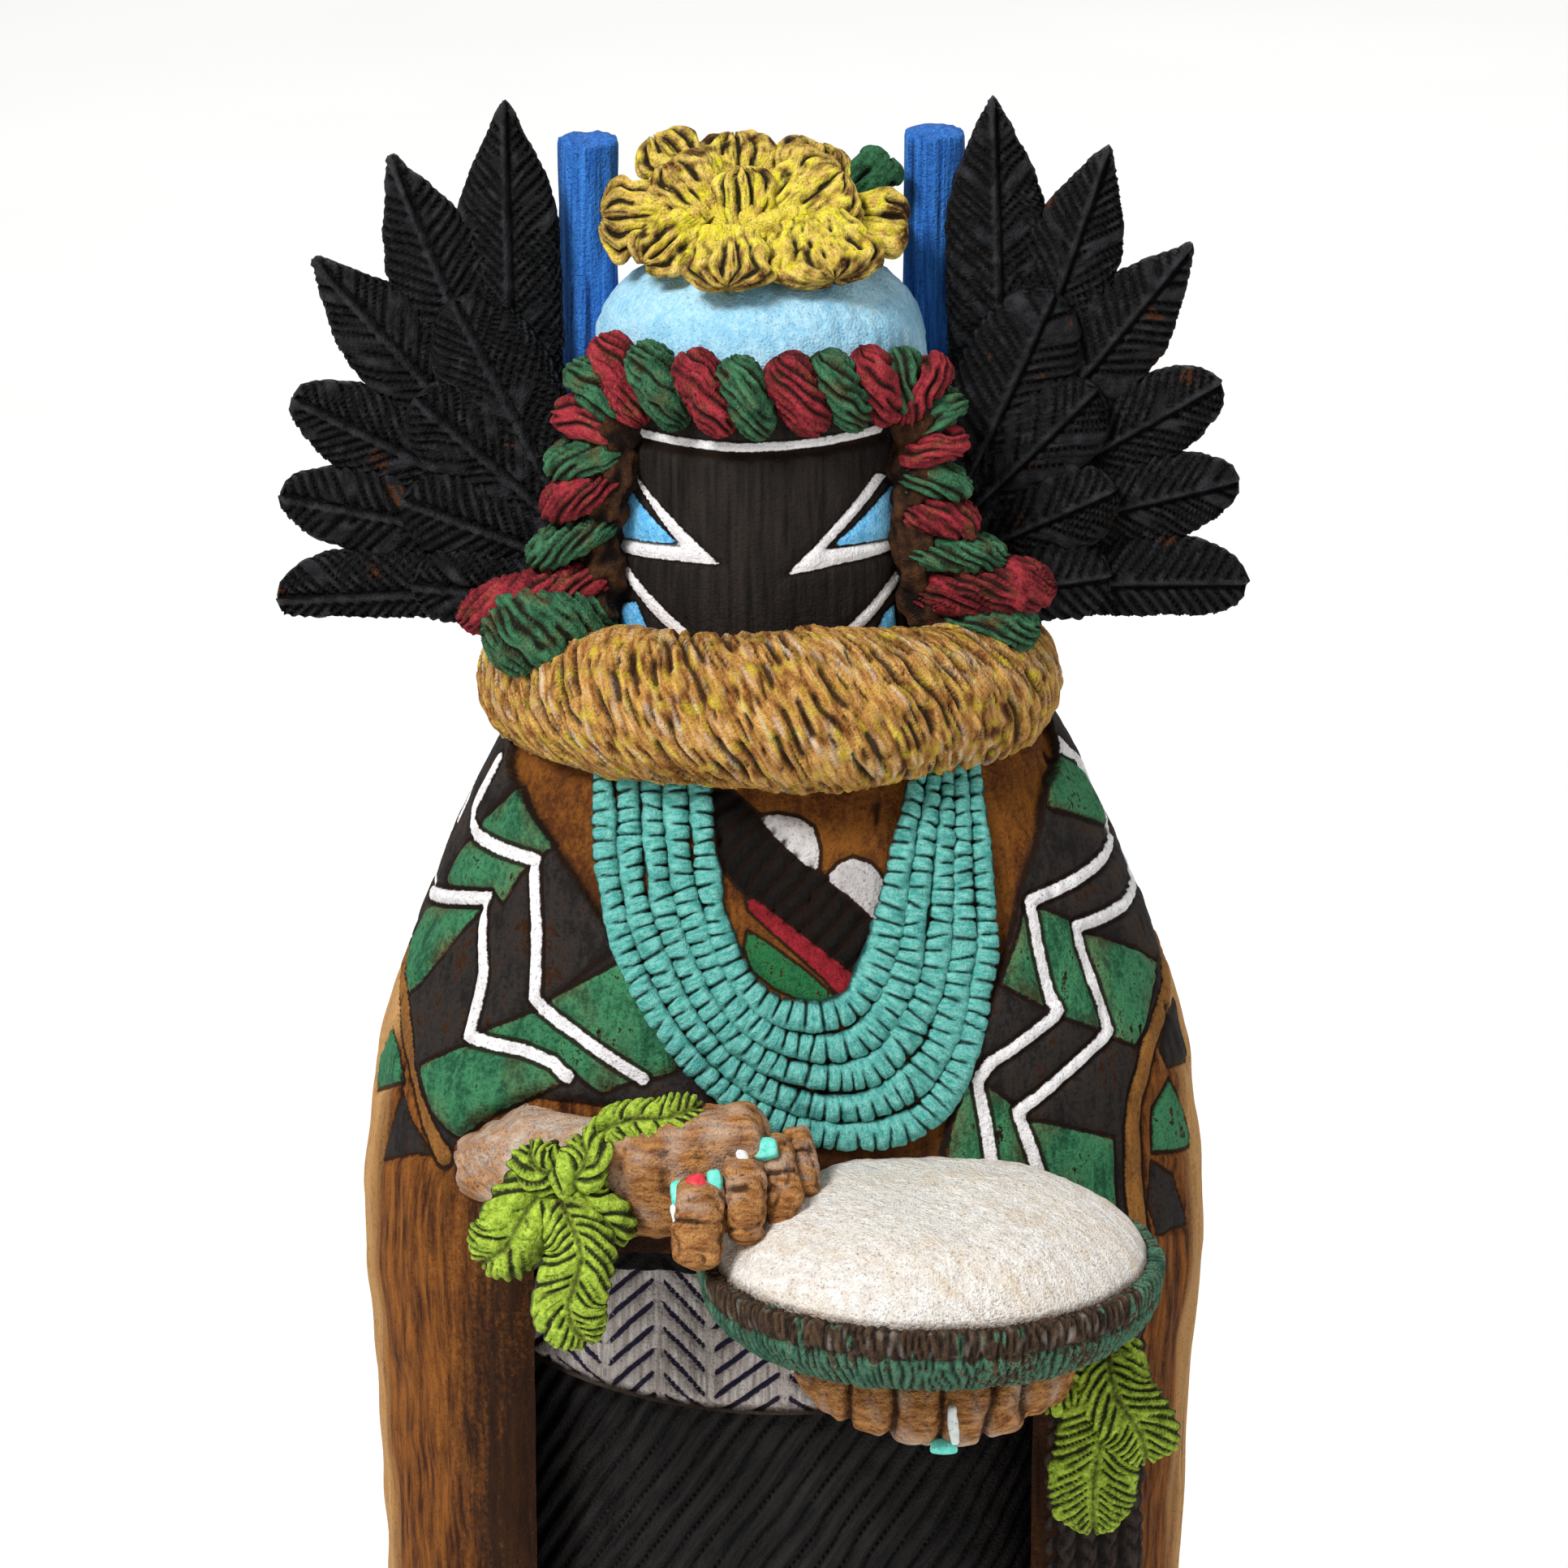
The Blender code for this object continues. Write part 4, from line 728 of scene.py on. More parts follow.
def tube(path, half_out, half_side, sides, towards=FRONT, power=2.0):
    """Rows of points round a path; half_out lies along towards, half_side square to it."""
    path = np.asarray(path, float)
    z = np.gradient(path, axis=0)
    z /= np.linalg.norm(z, axis=1, keepdims=True)
    y = np.cross(z, towards)
    y /= np.linalg.norm(y, axis=1, keepdims=True)
    x = np.cross(y, z)
    angle = angles(sides)[None, :, None]
    c, s = np.cos(angle), np.sin(angle)
    reach = (np.abs(c) ** power + np.abs(s) ** power) ** (-1 / power)
    half_out, half_side = (np.broadcast_to(h, len(path))[:, None, None] for h in (half_out, half_side))
    return path[:, None] + x[:, None] * c * reach * half_out + y[:, None] * s * reach * half_side


def wreath_y(x):
    """How far forward the wreath lies at an x: just off the head, and never far round its side."""
    across = min(abs(x - HEAD[0]), HEAD_RADIUS + 0.8)
    return min(HEAD[1] - math.sqrt((HEAD_RADIUS + 0.8) ** 2 - across**2), -11.0)


lobes = []
for k, (outer, inner, half) in enumerate(WREATH):
    a, b = (np.array([x, wreath_y(x), z]) for x, z in (inner, outer))
    bow = np.array([0, -3.4 if k == 0 else -1.1, 0.5])
    rows = 42 + 22 * (k < 2)
    path = curve([a, (a + b) / 2 + bow, b + bow * (0.8 if k == 0 else 0)], rows)
    t = np.linspace(-1, 1, rows)
    fat = np.maximum(1 - np.abs(t) ** 3.2, 0.01) ** 0.5 * (1 + 0.12 * t)
    points = tube(path, 4.0 * fat, half * fat, 42, power=2.2)
    angle = angles(42)[None]
    run = np.linspace(0, np.linalg.norm(b - a), rows)[:, None]
    # The strands lean to the right over the brow and on the left, and the other way past the right eye.
    lean = -1 if k == 0 or k > 15 else 1
    dip, lie = (0.92, 0.4) if k == 0 else (0.55, 0.83)
    phase = (dip * run + lean * lie * angle * half) / 1.05 + 0.26 * rough(points, 4, 41 + k)
    place = lie * run - lean * dip * angle * half
    strand = gouges(phase, 1.05, 0.23, place, 6, 80 + k, -0.3)
    fine = gouges(2 * phase + 0.5, 0.52, 0.13, place, 4, 110 + k, 0.0)
    # Both ends of each lobe are darkened as painted shade where the lobe turns in among the others.
    tip_shade = 0.6 * smooth(np.abs(t), 0.9, 1.0)[:, None]
    lobes.append(sheet(points, 0.2 - 0.72 * strand - 0.3 * fine + 0.13 * rough(points, 1.9, 60 + k),
                       spare=True, cut=np.maximum(np.maximum(0.95 * strand, 0.6 * fine), tip_shade),
                       red=float(k % 2) - 0.5, brown=rough(points, 2.8, 140 + k) - 0.75,
                       lay=spread(phase * 1.15, place, 3 * k)))
# Matte red and green that streak along the strands, with brown rubbed over both.
yarn = finish(
    "red_and_green_painted_yarn_carving", ("#1b4a30", "#4b835c"),
    [("red", "#5f131a", "#b13540", 0.5, 0.0), ("brown", "#43240f", "#77552a", 0.2, 0.0)],
    lay=(1.3, 0.5, 1), stain_and_shade="#1b0d07", relief=0.0004, wash=0.95, soft=("brown",),
)
carve("wreath_carving", lobes, yarn, "figure")
# The core between the lobes, seen as knobbly brown wood beside the face.
cores = []
for side, part in ((-1, WREATH[:8]), (1, WREATH[13:])):
    middles = [(x + side * 1.6, wreath_y(x) + 0.4, z) for _, (x, z), _ in part]
    core = tube(curve(middles, 110), 3.4, 2.6, 36)
    knobs = rough(core, 2.6, 45)
    cores.append(sheet(core, 0.6 * knobs + 0.15 * rough(core, 1.2, 46), spare=True,
                       cut=smooth(-knobs, -0.6, 0.9)))
core_finish = finish("brown_stained_wood", ("#29160a", "#55341a"), stain_and_shade="#100704", speck=2200,
                     grain=(900, 900, 900), relief=0.0004)
carve("wreath_core", cores, core_finish, "figure")


# Necklaces
# Five strands of turquoise beads carved in relief down the chest: each a rounded cord nicked across
# between the beads, painted turquoise, with black in the nicks.
STRANDS = 5
OUTER = curve([(-20.4, 202.0), (-19.6, 190.0), (-16.6, 179.5), (-9.6, 169.2), (-0.5, 163.2), (9.0, 161.6),
               (16.0, 164.0), (20.2, 170.5), (22.2, 180.0), (22.3, 191.0), (21.2, 202.0)], 500)
INNER = curve([(-9.6, 202.0), (-8.8, 192.0), (-7.0, 184.0), (-4.4, 178.6), (-0.6, 175.6), (4.4, 174.9),
               (8.4, 176.8), (10.9, 182.0), (12.4, 188.5), (13.8, 195.5), (15.2, 202.0)], 500)
gap = np.linalg.norm(OUTER - INNER, axis=1) / (STRANDS - 1)
strands = []
for k in range(STRANDS):
    flat = OUTER + (INNER - OUTER) * k / (STRANDS - 1)
    wander = 0.35 * rough(np.c_[flat, np.full(len(flat), 5.0 * k)], 14, 51 + k)
    flat = flat + wander[:, None] * (0.6, -0.4)
    width, depth = robe_size(flat[:, 1])
    y = front_of(width - ROBE_THICKNESS, depth - ROBE_THICKNESS, flat[:, 0]) + 0.2
    path = np.stack([flat[:, 0], y, flat[:, 1]], 1)
    half = gap * 0.53 * (1 + 0.10 * rough(np.c_[flat, np.full(len(flat), 9.0 * k)], 7, 57 + k))
    points = tube(path, 2.2, half * 0.95, 21, power=2.5)
    run = np.r_[0, np.cumsum(np.linalg.norm(np.diff(path, axis=0), axis=1))]
    angle = angles(21)[None]
    skew = 0.22 * rough(path, 4, 59 + k)[:, None]
    bead = (run[:, None] + skew * np.sin(angle) * half[:, None]) / 1.75
    bead = bead + 0.26 * rough(path, 6, 63 + k)[:, None]
    row = np.round(bead)
    # Each cut starts at one edge of the strand and fades before it reaches the other.
    reach = np.sin(row * 12.9898 + k) * 0.9
    partial = smooth(np.sin(angle) * np.sign(reach), -1.25 + 0.5 * np.abs(reach), -0.5 + 0.6 * np.abs(reach))
    nick = mark((bead - row) * 1.75, 0.17) * partial
    # Where the strands meet, their sides are darkened and deepened in tone as painted shade.
    side = smooth(np.abs(np.sin(angle)), 0.80, 0.99)
    shade = rough(points, 3.0, 70 + k)
    strands.append(sheet(points, -0.55 * nick + 0.13 * rough(points, 1.6, 75 + k), caps=False, spare=True,
                         cut=np.maximum(nick, 0.8 * side), deep=0.8 * shade + side - 0.9,
                         lay=spread(run[:, None], angle * half[:, None], 9.0 * k)))
# Chalky turquoise, deeper towards the strands' sides as painted shade where they meet, with near-black stain
# in the nicks.
bead_finish = finish(
    "turquoise_painted_beads", ("#3f9f95", "#86d0c6"), [("deep", "#1f716d", "#348e87", 0.3, 0.0)],
    stain_and_shade="#0d1c1a", soft=("deep",), lay=(2.2, 0.7, 1), speck=2100, relief=0.00028, pores=0.4,
)
carve("necklace_carving", strands, bead_finish, "figure")


# Arms and hands
# Bare stained wood with a white wash dragged over it: the right hand lies over the basket's edge
# with two inlaid rings, the left is under the basket with one.

# No limb is seen beyond this x, where the sleeve's edge hides it; the edge slants in higher up.
SLEEVE_END = -36.8
SLEEVE_CORNER = 158.5


def limb(points, out, side, seed, towards=FRONT, rows=54, sides=38, power=2.3, knuckles=(), blunt=9,
         chalk=0.0):
    """A carved arm, palm or finger through some points, its half sizes given along it."""
    path = curve(points, rows)
    t = np.linspace(0, 1, rows)
    ends = np.minimum(1, np.maximum(1 - np.abs(2 * t - 1) ** blunt, 0.004) ** 0.5)
    grid = tube(path, np.interp(t, np.linspace(0, 1, len(out)), out) * ends,
                np.interp(t, np.linspace(0, 1, len(side)), side) * ends, sides, towards, power)
    sleeve = SLEEVE_END + 1.35 * np.maximum(grid[..., 2] - SLEEVE_CORNER, 0)
    grid[..., 0] = np.maximum(grid[..., 0], sleeve)
    crease = np.zeros(grid.shape[:2])
    for place in knuckles:
        wavy = t[:, None] - place + 0.02 * rough(grid, 4, seed + 3)
        crease = np.maximum(crease, mark(wavy, 0.028) * smooth(rough(grid, 3, seed + 4), -1.0, 0.2))
    facet = np.abs(rough(grid, 4.2, seed)) + 0.3 * rough(grid, 1.8, seed + 5)
    wash = 0.6 * rough(grid, 5, seed + 1) + 0.8 * rough(grid * (0.3, 1, 1), 1.3, seed + 2)
    high = smooth(grid[..., 2], 150, 166) * smooth(-grid[..., 1], 18, 30)
    low = smooth(0.32 - facet, 0, 0.5) * (0.2 if chalk > 0 else 0.62)
    return sheet(grid, 0.34 * facet - 0.2 - 0.3 * crease, spare=True, cut=np.maximum(0.9 * crease, low),
                 pale=0.6 * wash + 0.8 * high - 0.9 + chalk)


# The upper hand's fingers: three points along each, and its half sizes outwards and sideways.
FINGERS = [
    ([(-9.4, -45.0, 160.6), (-9.2, -48.4, 157.6), (-9.6, -49.2, 152.0)], (2.6, 2.6, 2.2), (2.9, 2.9, 2.5)),
    ([(-4.9, -41.8, 162.6), (-4.2, -46.2, 159.2), (-4.2, -47.6, 154.2)], (2.5, 2.6, 2.2), (2.3, 2.4, 2.1)),
    ([(-1.4, -38.2, 163.4), (-0.4, -42.9, 160.6), (0.0, -45.6, 155.0)], (2.3, 2.3, 2.0), (2.0, 2.0, 1.8)),
    ([(1.2, -35.0, 163.0), (2.2, -38.8, 161.2), (2.6, -41.6, 157.6)], (2.2, 2.1, 1.8), (1.7, 1.7, 1.5)),
]
palm_way, finger_way = np.array([9.8, 11.0, 2.8]), np.array([0, -1, 0.3])
arms = [
    limb([(-38.5, -15.0, 157.4), (-29, -27.0, 158.0), (-19, -36.5, 158.6)], (6.0, 6.0, 5.4),
         (5.4, 6.2, 5.6), 101, rows=90, sides=64, blunt=30, chalk=0.7),
    limb([(-20, -36.5, 158.2), (-12, -39, 159.6), (-0.8, -40.4, 161.5)], (5.4, 4.6, 4.2),
         (6.0, 7.2, 7.2), 104, palm_way, rows=70, sides=60, power=2.8, blunt=14, chalk=-0.12),
    *[limb(points, out, side, 107 + 3 * k, finger_way, knuckles=(0.5,), power=3, chalk=-0.25)
      for k, (points, out, side) in enumerate(FINGERS)],
    limb([(37.4, -16, 139.4), (32.6, -27, 138.8), (27, -35, 138.2)], (5.0, 5.2, 5.4),
         (5.0, 5.2, 5.4), 119, chalk=-0.3),
    limb([(29, -34, 138), (21, -40, 136.4), (8, -42, 137.0)], (5.2, 4.8, 3.4),
         (8.0, 8.6, 6.0), 122, np.array([0, 0, -1.0]), chalk=-0.3),
]
# The lower hand's fingers show as a band under the basket, parted by upright cuts.
path = curve([(2.6, -44.5, 138.6), (9, -47.0, 137.8), (17, -48.4, 137.0), (24, -47.0, 137.8),
              (30.5, -43.0, 139.4)], 150)
fat = np.maximum(1 - np.abs(np.linspace(-1, 1, 150)) ** 3.0, 0.02) ** 0.6
knuckles = tube(path, 5.4 * fat, 4.6, 72, np.array([0, -0.25, -1.0]), 2.0)
gap_at = np.array([7.2, 11.8, 17.4, 22.6, 26.8]) + 0.5 * rough(knuckles, 8, 127)[..., None]
parting = mark(np.min(np.abs(knuckles[..., :1] - gap_at), -1), 0.55)
facet = np.abs(rough(knuckles, 4.0, 128))
wash = 0.5 * rough(knuckles * (1, 1, 0.4), 2.2, 129) - 0.75
arms.append(sheet(knuckles, 0.3 * facet - parting, spare=True,
                  cut=np.maximum(0.8 * parting, 0.55 * smooth(0.3 - facet, 0, 0.4)),
                  pale=wash + 1.1 * smooth(134.3 - knuckles[..., 2], 0, 2.0)))
# Warm brown wood with the knife's flat facets, and whitewash dragged over its high places.
skin = finish("brown_stained_and_whitewashed_wood", ("#744219", "#c18a52"),
              [("pale", "#d9ccbd", "#f6f1ea", 0.05, 0.0)], grain=(260, 1300, 1300), stain_and_shade="#2b1206",
              relief=0.0004, soft=("pale",))
carve("arms_carving", arms, skin, "figure")


def stone(centre, half, facing, seed):
    """A small inlaid stone, ground nearly flat, with soft corners."""
    centre, facing = np.array(centre, float), np.array(facing, float)
    facing /= np.linalg.norm(facing)
    path = centre + np.linspace(-1, 1, 14)[:, None] * facing * half[2]
    t = np.linspace(-1, 1, 14)
    fat = np.maximum(1 - np.abs(t) ** 6, 0.004) ** 0.5
    grid = tube(path, half[0] * fat, half[1] * fat, 28, np.array([1.0, 0.05, 0.1]), 4.0)
    return sheet(grid, 0.10 * rough(grid, 1.5, seed))


# Smoother than the wood: the ground stones catch small soft highlights. For each kind, its material's
# name, tones and roughness, and each stone's middle, half sizes, facing and seed.
out = (-0.1, -0.8, 0.6)
STONES = {
    "turquoise": ("inlaid_turquoise", ("#4fc9b6", "#86e0d2"), 0.45, [
        ((-11.6, -47.3, 159.9), (0.8, 1.4, 1.0), out, 1), ((-7.6, -47.1, 161.3), (0.8, 1.3, 1.0), out, 2),
        ((-2.2, -43.3, 163.8), (1.5, 1.2, 1.0), out, 3),
        ((17.6, -51.5, 132.2), (1.5, 0.6, 0.9), (0, -1, -0.6), 4),
    ]),
    "coral": ("inlaid_coral", ("#c22a35", "#e0444c"), 0.4, [((-9.6, -47.6, 160.9), (1.1, 1.3, 1.1), out, 5)]),
    "shell": ("inlaid_white_shell", ("#cfd6d2", "#e8ecea"), 0.5, [
        ((-11.6, -48.4, 157.8), (0.7, 1.4, 0.9), out, 6),
        ((18.6, -52.6, 135.2), (0.55, 2.4, 0.9), (0, -1, -0.2), 7),
        ((-4.5, -44.3, 163.2), (0.7, 0.7, 0.8), out, 8),
    ]),
}
for kind, (name, tones, roughness, stones) in STONES.items():
    stone_finish = finish(name, tones, grain=(900, 900, 900), roughness=roughness, relief=0.00003)
    carve("ring_" + kind, [stone(*place) for place in stones], stone_finish, "figure")


# Basket and meal
# A flat basket carved as one with the hands: close upright nicks round its side, brown over green,
# heaped with white meal whose surface is stippled and brushed.
BASKET = np.array([16.3, -41.8, 150.7])
BASKET_TILT = math.radians(6)
BASKET_HALF_WIDTH = 25.8
BASKET_HALF_DEPTH = 22.0


def in_basket(reach, turn, z):
    """Points round the basket: reach is the share of its half sizes, z is up from its middle."""
    x, y = BASKET_HALF_WIDTH * reach * np.cos(turn), BASKET_HALF_DEPTH * reach * np.sin(turn)
    c, s = math.cos(BASKET_TILT), math.sin(BASKET_TILT)
    return spread(BASKET[0] + x, BASKET[1] + y * c - z * s, BASKET[2] + y * s + z * c)


turn = np.linspace(-math.pi, math.pi, 430, endpoint=False)[None]
profile = curve([(0.30, -8.6), (0.62, -8.5), (0.84, -7.6), (0.96, -5.0), (1.0, -1.8), (1.0, 0.3),
                 (0.965, 0.95), (0.92, 0.5), (0.88, -1.2)], 47)
reach, z = profile[:, :1], profile[:, 1:]
bowl = in_basket(reach, turn, z)
phase = (turn * 24 + 0.5 * rough(bowl, 6, 131)) / 0.95 + 0.12 * z
strip = gouges(phase, 0.95, 0.24, z, 6, 132, -0.8)
belt = 0.6 * mark(z + 2.6, 0.35) + 0 * turn
# Inside the rim, down to the meal, the basket is darkened as painted shade.
rim_shade = smooth(0.955 - reach, 0, 0.05) * (z > -3) + 0 * turn
turned = smooth(np.cos(turn - 0.35), 0.55, 0.9) + smooth(np.cos(turn - 2.9), 0.86, 0.97)
form = sheet(bowl, -0.4 * strip - 0.35 * belt + 0.12 * rough(bowl, 3, 133),
             cut=np.maximum.reduce([0.85 * strip, 0.7 * belt, 0.9 * rim_shade]),
             green=np.where(z < -2.6, -2.6 - z, 2 * turned - 0.55)
             + 0.65 * rough(bowl * (1, 1, 0.3), 1.5, 134),
             pale=np.where(z > -2.4, rough(bowl * (1, 1, 0.25), 1.2, 135) - 1.05, -9.0))
# Dark brown over green, dragged across the nicks, with a little pale wash on the upper band.
basket_finish = finish(
    "brown_and_green_painted_basket", ("#20150f", "#5f4833"),
    [("green", "#2a5540", "#62967a", 0.26, 0.0), ("pale", "#8d857d", "#c4bdb5", 0.2, 0.0)],
    grain=(1500, 1500, 300), stain_and_shade="#120b08", relief=0.0003, soft=("pale",),
)
carve("basket_carving", [form], basket_finish, "figure")

radial = np.linspace(1, 0.0, 66)[:, None]
turn = np.linspace(-math.pi, math.pi, 170, endpoint=False)[None]
heap = 0.2 + 7.8 * (1 - radial**4) ** 0.8
meal = in_basket(0.935 * radial, turn, heap)
ripple = rough(meal * (1, 0.5, 1), 9, 141)
sweep, rise_line = meal[..., 0] * 0.75 + meal[..., 1] * 0.9, meal[..., 1] * 0.75 - meal[..., 0] * 0.9
drawn = rough(spread(sweep, rise_line * 0.12, 0.0), 2.6, 142)
# The meal's edge, where it meets the basket, is darkened as a line of painted shade.
form = sheet(meal, 0.28 * ripple + 0.09 * drawn + 0.06 * rough(meal, 1.5, 144),
             warm=0.5 * rough(meal, 3, 143) + 0.7 * drawn - 0.45,
             cut=0.6 * smooth(radial - 0.962, 0, 0.03), lay=spread(sweep, rise_line, 0.0))
# Thick dull white, stippled with a stiff brush, with warmer drags across it.
meal_finish = finish(
    "white_stippled_meal", ("#ddd3c8", "#f9f6f1"), [("warm", "#d8c3a8", "#efe2d0", 0.25, 0.0)],
    lay=(1.3, 0.5, 1), stain_and_shade="#6d5745", relief=0.00045, roughness=0.9, pores=0.6, soft=("warm",),
)
carve("meal_carving", [form], meal_finish, "figure")


# Sprigs
# Small boughs tied at the wrists: plump leaves gouged from the midrib outwards, lime green with
# black brushed into the gouges and brown rubbed along the ribs.
def leaf(root, tip, half, seed, sag=1.5, towards=FRONT, thick=1.9, sway=0.5):
    """A plump leaf, its upper side facing towards a way, bowed by sag and swayed to one side."""
    root, tip, towards = (np.array(v, float) for v in (root, tip, towards))
    length, pitch = np.linalg.norm(tip - root), 1.02
    aside = np.cross(tip - root, towards) / length * sway * (-1) ** seed
    bow = towards * sag
    near_root, near_tip = root * 0.66 + tip * 0.34 + bow + aside, root * 0.3 + tip * 0.7 + bow - aside
    path = curve([root, near_root, near_tip, tip], 88)
    t = np.linspace(0, 1, 88)
    wide = np.interp(t, (0, 0.10, 0.3, 0.8, 0.9, 0.96, 1), (0.40, 0.70, 0.96, 1.0, 0.84, 0.56, 0.1))
    angle = angles(48)[None]
    side = np.sin(angle)
    grid = tube(path, thick * np.sqrt(np.maximum(wide, 0.02)), half * wide, 48, towards, 2.0)
    lateral = side * half * wide[:, None]
    phase = (t[:, None] * length - 0.75 * np.abs(lateral)) / pitch
    phase = phase + np.where(side > 0, 0.5, 0.0) + 0.37 * seed + 0.2 * rough(grid, 6, seed)
    gouge = gouges(phase, pitch, 0.23, np.abs(lateral), 6, seed + 6, -0.5) * smooth(np.abs(side), 0.05, 0.22)
    finer = gouges(2.0 * phase + 0.5, pitch / 2, 0.11, np.abs(lateral), 3, seed + 7, 0.2)
    finer = finer * smooth(np.abs(side), 0.1, 0.4)
    # The leaf's outer edges are darkened as painted shade, to part the leaves from each other.
    outer = smooth(np.abs(side), 0.93, 1.0) * (np.cos(angle) > -0.2)
    midrib = mark(lateral, 0.45) * (np.cos(angle) > 0)
    fold = smooth(np.abs(side), 0.0, 0.5) * (np.cos(angle) > 0)
    relief = fold - 0.55 * gouge - 0.25 * finer - 0.35 + 0.16 * rough(grid, 2.2, seed + 1)
    brown = 0.6 * midrib + 0.5 * rough(grid, 4, seed + 2) - 0.78 + 0.5 * smooth(0.2 - t[:, None], 0, 0.2)
    return sheet(grid, relief, spare=True, brown=brown,
                 cut=np.maximum.reduce([gouge, 0.7 * finer, 0.6 * midrib, 0.7 * outer + 0 * gouge]))


sprigs = [
    leaf((-21.4, -38.0, 163.2), (-9.2, -39.5, 167.4), 2.3, 151, sag=0.8, towards=(0, -0.8, 0.5)),
    leaf((-24.0, -39.5, 158.6), (-28.0, -40.6, 163.4), 2.6, 154),
    leaf((-22.6, -41.6, 158.8), (-22.2, -42.4, 164.8), 2.5, 157),
    leaf((-25.4, -39.6, 159.6), (-33.4, -40.6, 150.4), 3.8, 160, thick=2.2),
    leaf((-24.4, -42.6, 157.8), (-21.8, -45.0, 142.4), 3.6, 163, sag=1.8, thick=2.5, sway=1.2),
    leaf((-22.2, -41.0, 160.0), (-18.8, -41.6, 153.4), 2.5, 166, thick=2.2),
    leaf((36.2, -37.2, 141.6), (34.6, -39.8, 118.4), 4.6, 169, sag=1.2, thick=2.4),
    leaf((36.0, -38.8, 139.0), (40.4, -40.4, 127.2), 4.0, 172),
    leaf((35.4, -36.4, 139.2), (29.2, -38.6, 132.6), 2.6, 175),
    leaf((35.0, -31.0, 146.0), (36.6, -35.8, 134.0), 2.0, 178),
]
# Bright lime that breaks over the gouges, with brown rubbed along the ribs.
sprig_finish = finish(
    "lime_painted_wood", ("#7a9a24", "#c0d950"), [("brown", "#4a3a16", "#7d6c2c", 0.2, 0.0)],
    grain=(1400, 1400, 1400), stain_and_shade="#15140a", wash=0.95, relief=0.0003, soft=("brown",),
)
carve("sprig_carving", sprigs, sprig_finish, "figure")


# Sash
# The end of the braided sash, laid down the robe beside the recess: twisted cords, nearly black,
# with white dry-brushed over their tops.
SASH_HALF_WIDTH = 6.2
SASH_CORD = 2.6
heights = np.linspace(62, 141, 260)
width, depth = robe_size(heights)
path = spread(35.4, front_of(width, depth, 35.4) + 0.2, heights)
ends = np.minimum(1, np.maximum(1 - np.abs(np.linspace(-1, 1, 260)) ** 40, 0.01) ** 0.5)
grid = tube(path, 2.2 * ends, SASH_HALF_WIDTH * ends, 56, np.array([0.45, -1.0, 0]), 3.0)
cord = np.sin(angles(56)[None]) * SASH_HALF_WIDTH / SASH_CORD
between = mark((cord - np.round(cord)) * SASH_CORD, 0.5)
slant = 1.4 * np.abs(cord - np.round(cord)) * SASH_CORD
twist = (heights[:, None] + slant + 0.8 * np.round(cord)) / 2.5 + 0.2 * rough(grid, 6, 181)
lay_cut = mark((twist - np.round(twist)) * 2.5, 0.5)
cut = np.maximum(between, 0.8 * lay_cut)
form = sheet(grid, -0.7 * between - 0.45 * lay_cut + 0.15 * rough(grid, 3, 182), spare=True, cut=cut,
             pale=0.8 * rough(grid * (1, 1, 0.5), 3, 183) - 1.0 - cut)
# Nearly black cords whose tops alone take a dry brush of grey white.
sash_finish = finish("dark_drybrushed_cord_carving", ("#231b18", "#43362f"),
                     [("pale", "#8d8580", "#b5aeaa", 0.34, 0.0)], stain_and_shade="#0e0a09")
carve("sash_carving", [form], sash_finish, "figure")


# Feather fans
# Ten crow feathers a side, carved in two overlapping rows from thin board and glued to the head:
# raised midribs, barbs gouged outwards from them, matte black with brown wood in the splits.
BACK_FEATHERS = [
    ((28.0, 226.0), (28.8, 273.2), 6.1), ((26.0, 228.0), (41.6, 267.0), 5.9),
    ((24.0, 226.0), (50.4, 255.4), 5.7), ((22.0, 224.0), (53.1, 239.6), 5.3),
    ((22.0, 222.0), (54.7, 228.3), 5.1), ((22.0, 218.0), (55.2, 216.4), 5.6),
]
FRONT_FEATHERS = [
    ((20.0, 224.0), (34.6, 251.2), 6.4), ((18.0, 224.0), (39.0, 240.2), 5.8),
    ((18.0, 221.0), (40.6, 228.6), 5.3), ((18.0, 217.0), (39.6, 218.8), 5.0),
]
FAN_INNER_EDGE = 19.1
FAN_BOTTOM = 214.6
# Matte black with a low sheen, a grey painted highlight along the barbs, quills and rims, where the rims also
# show pale wear, and brown wood in the splits.
black_finish = finish(
    "black_painted_feather_board", ("#0a0a0b", "#1b1b1d"),
    [("glint", "#333437", "#5a5b60", 0.02, 0.0), ("brown", "#3b1e0b", "#6a3a15", 0.16, 0.0)],
    stain_and_shade="#010101", lay=(2.0, 0.5, 1), roughness=0.5, relief=0.0003, wash=0.96, gloss=0.12, pores=0.4,
    soft=("glint",),
)


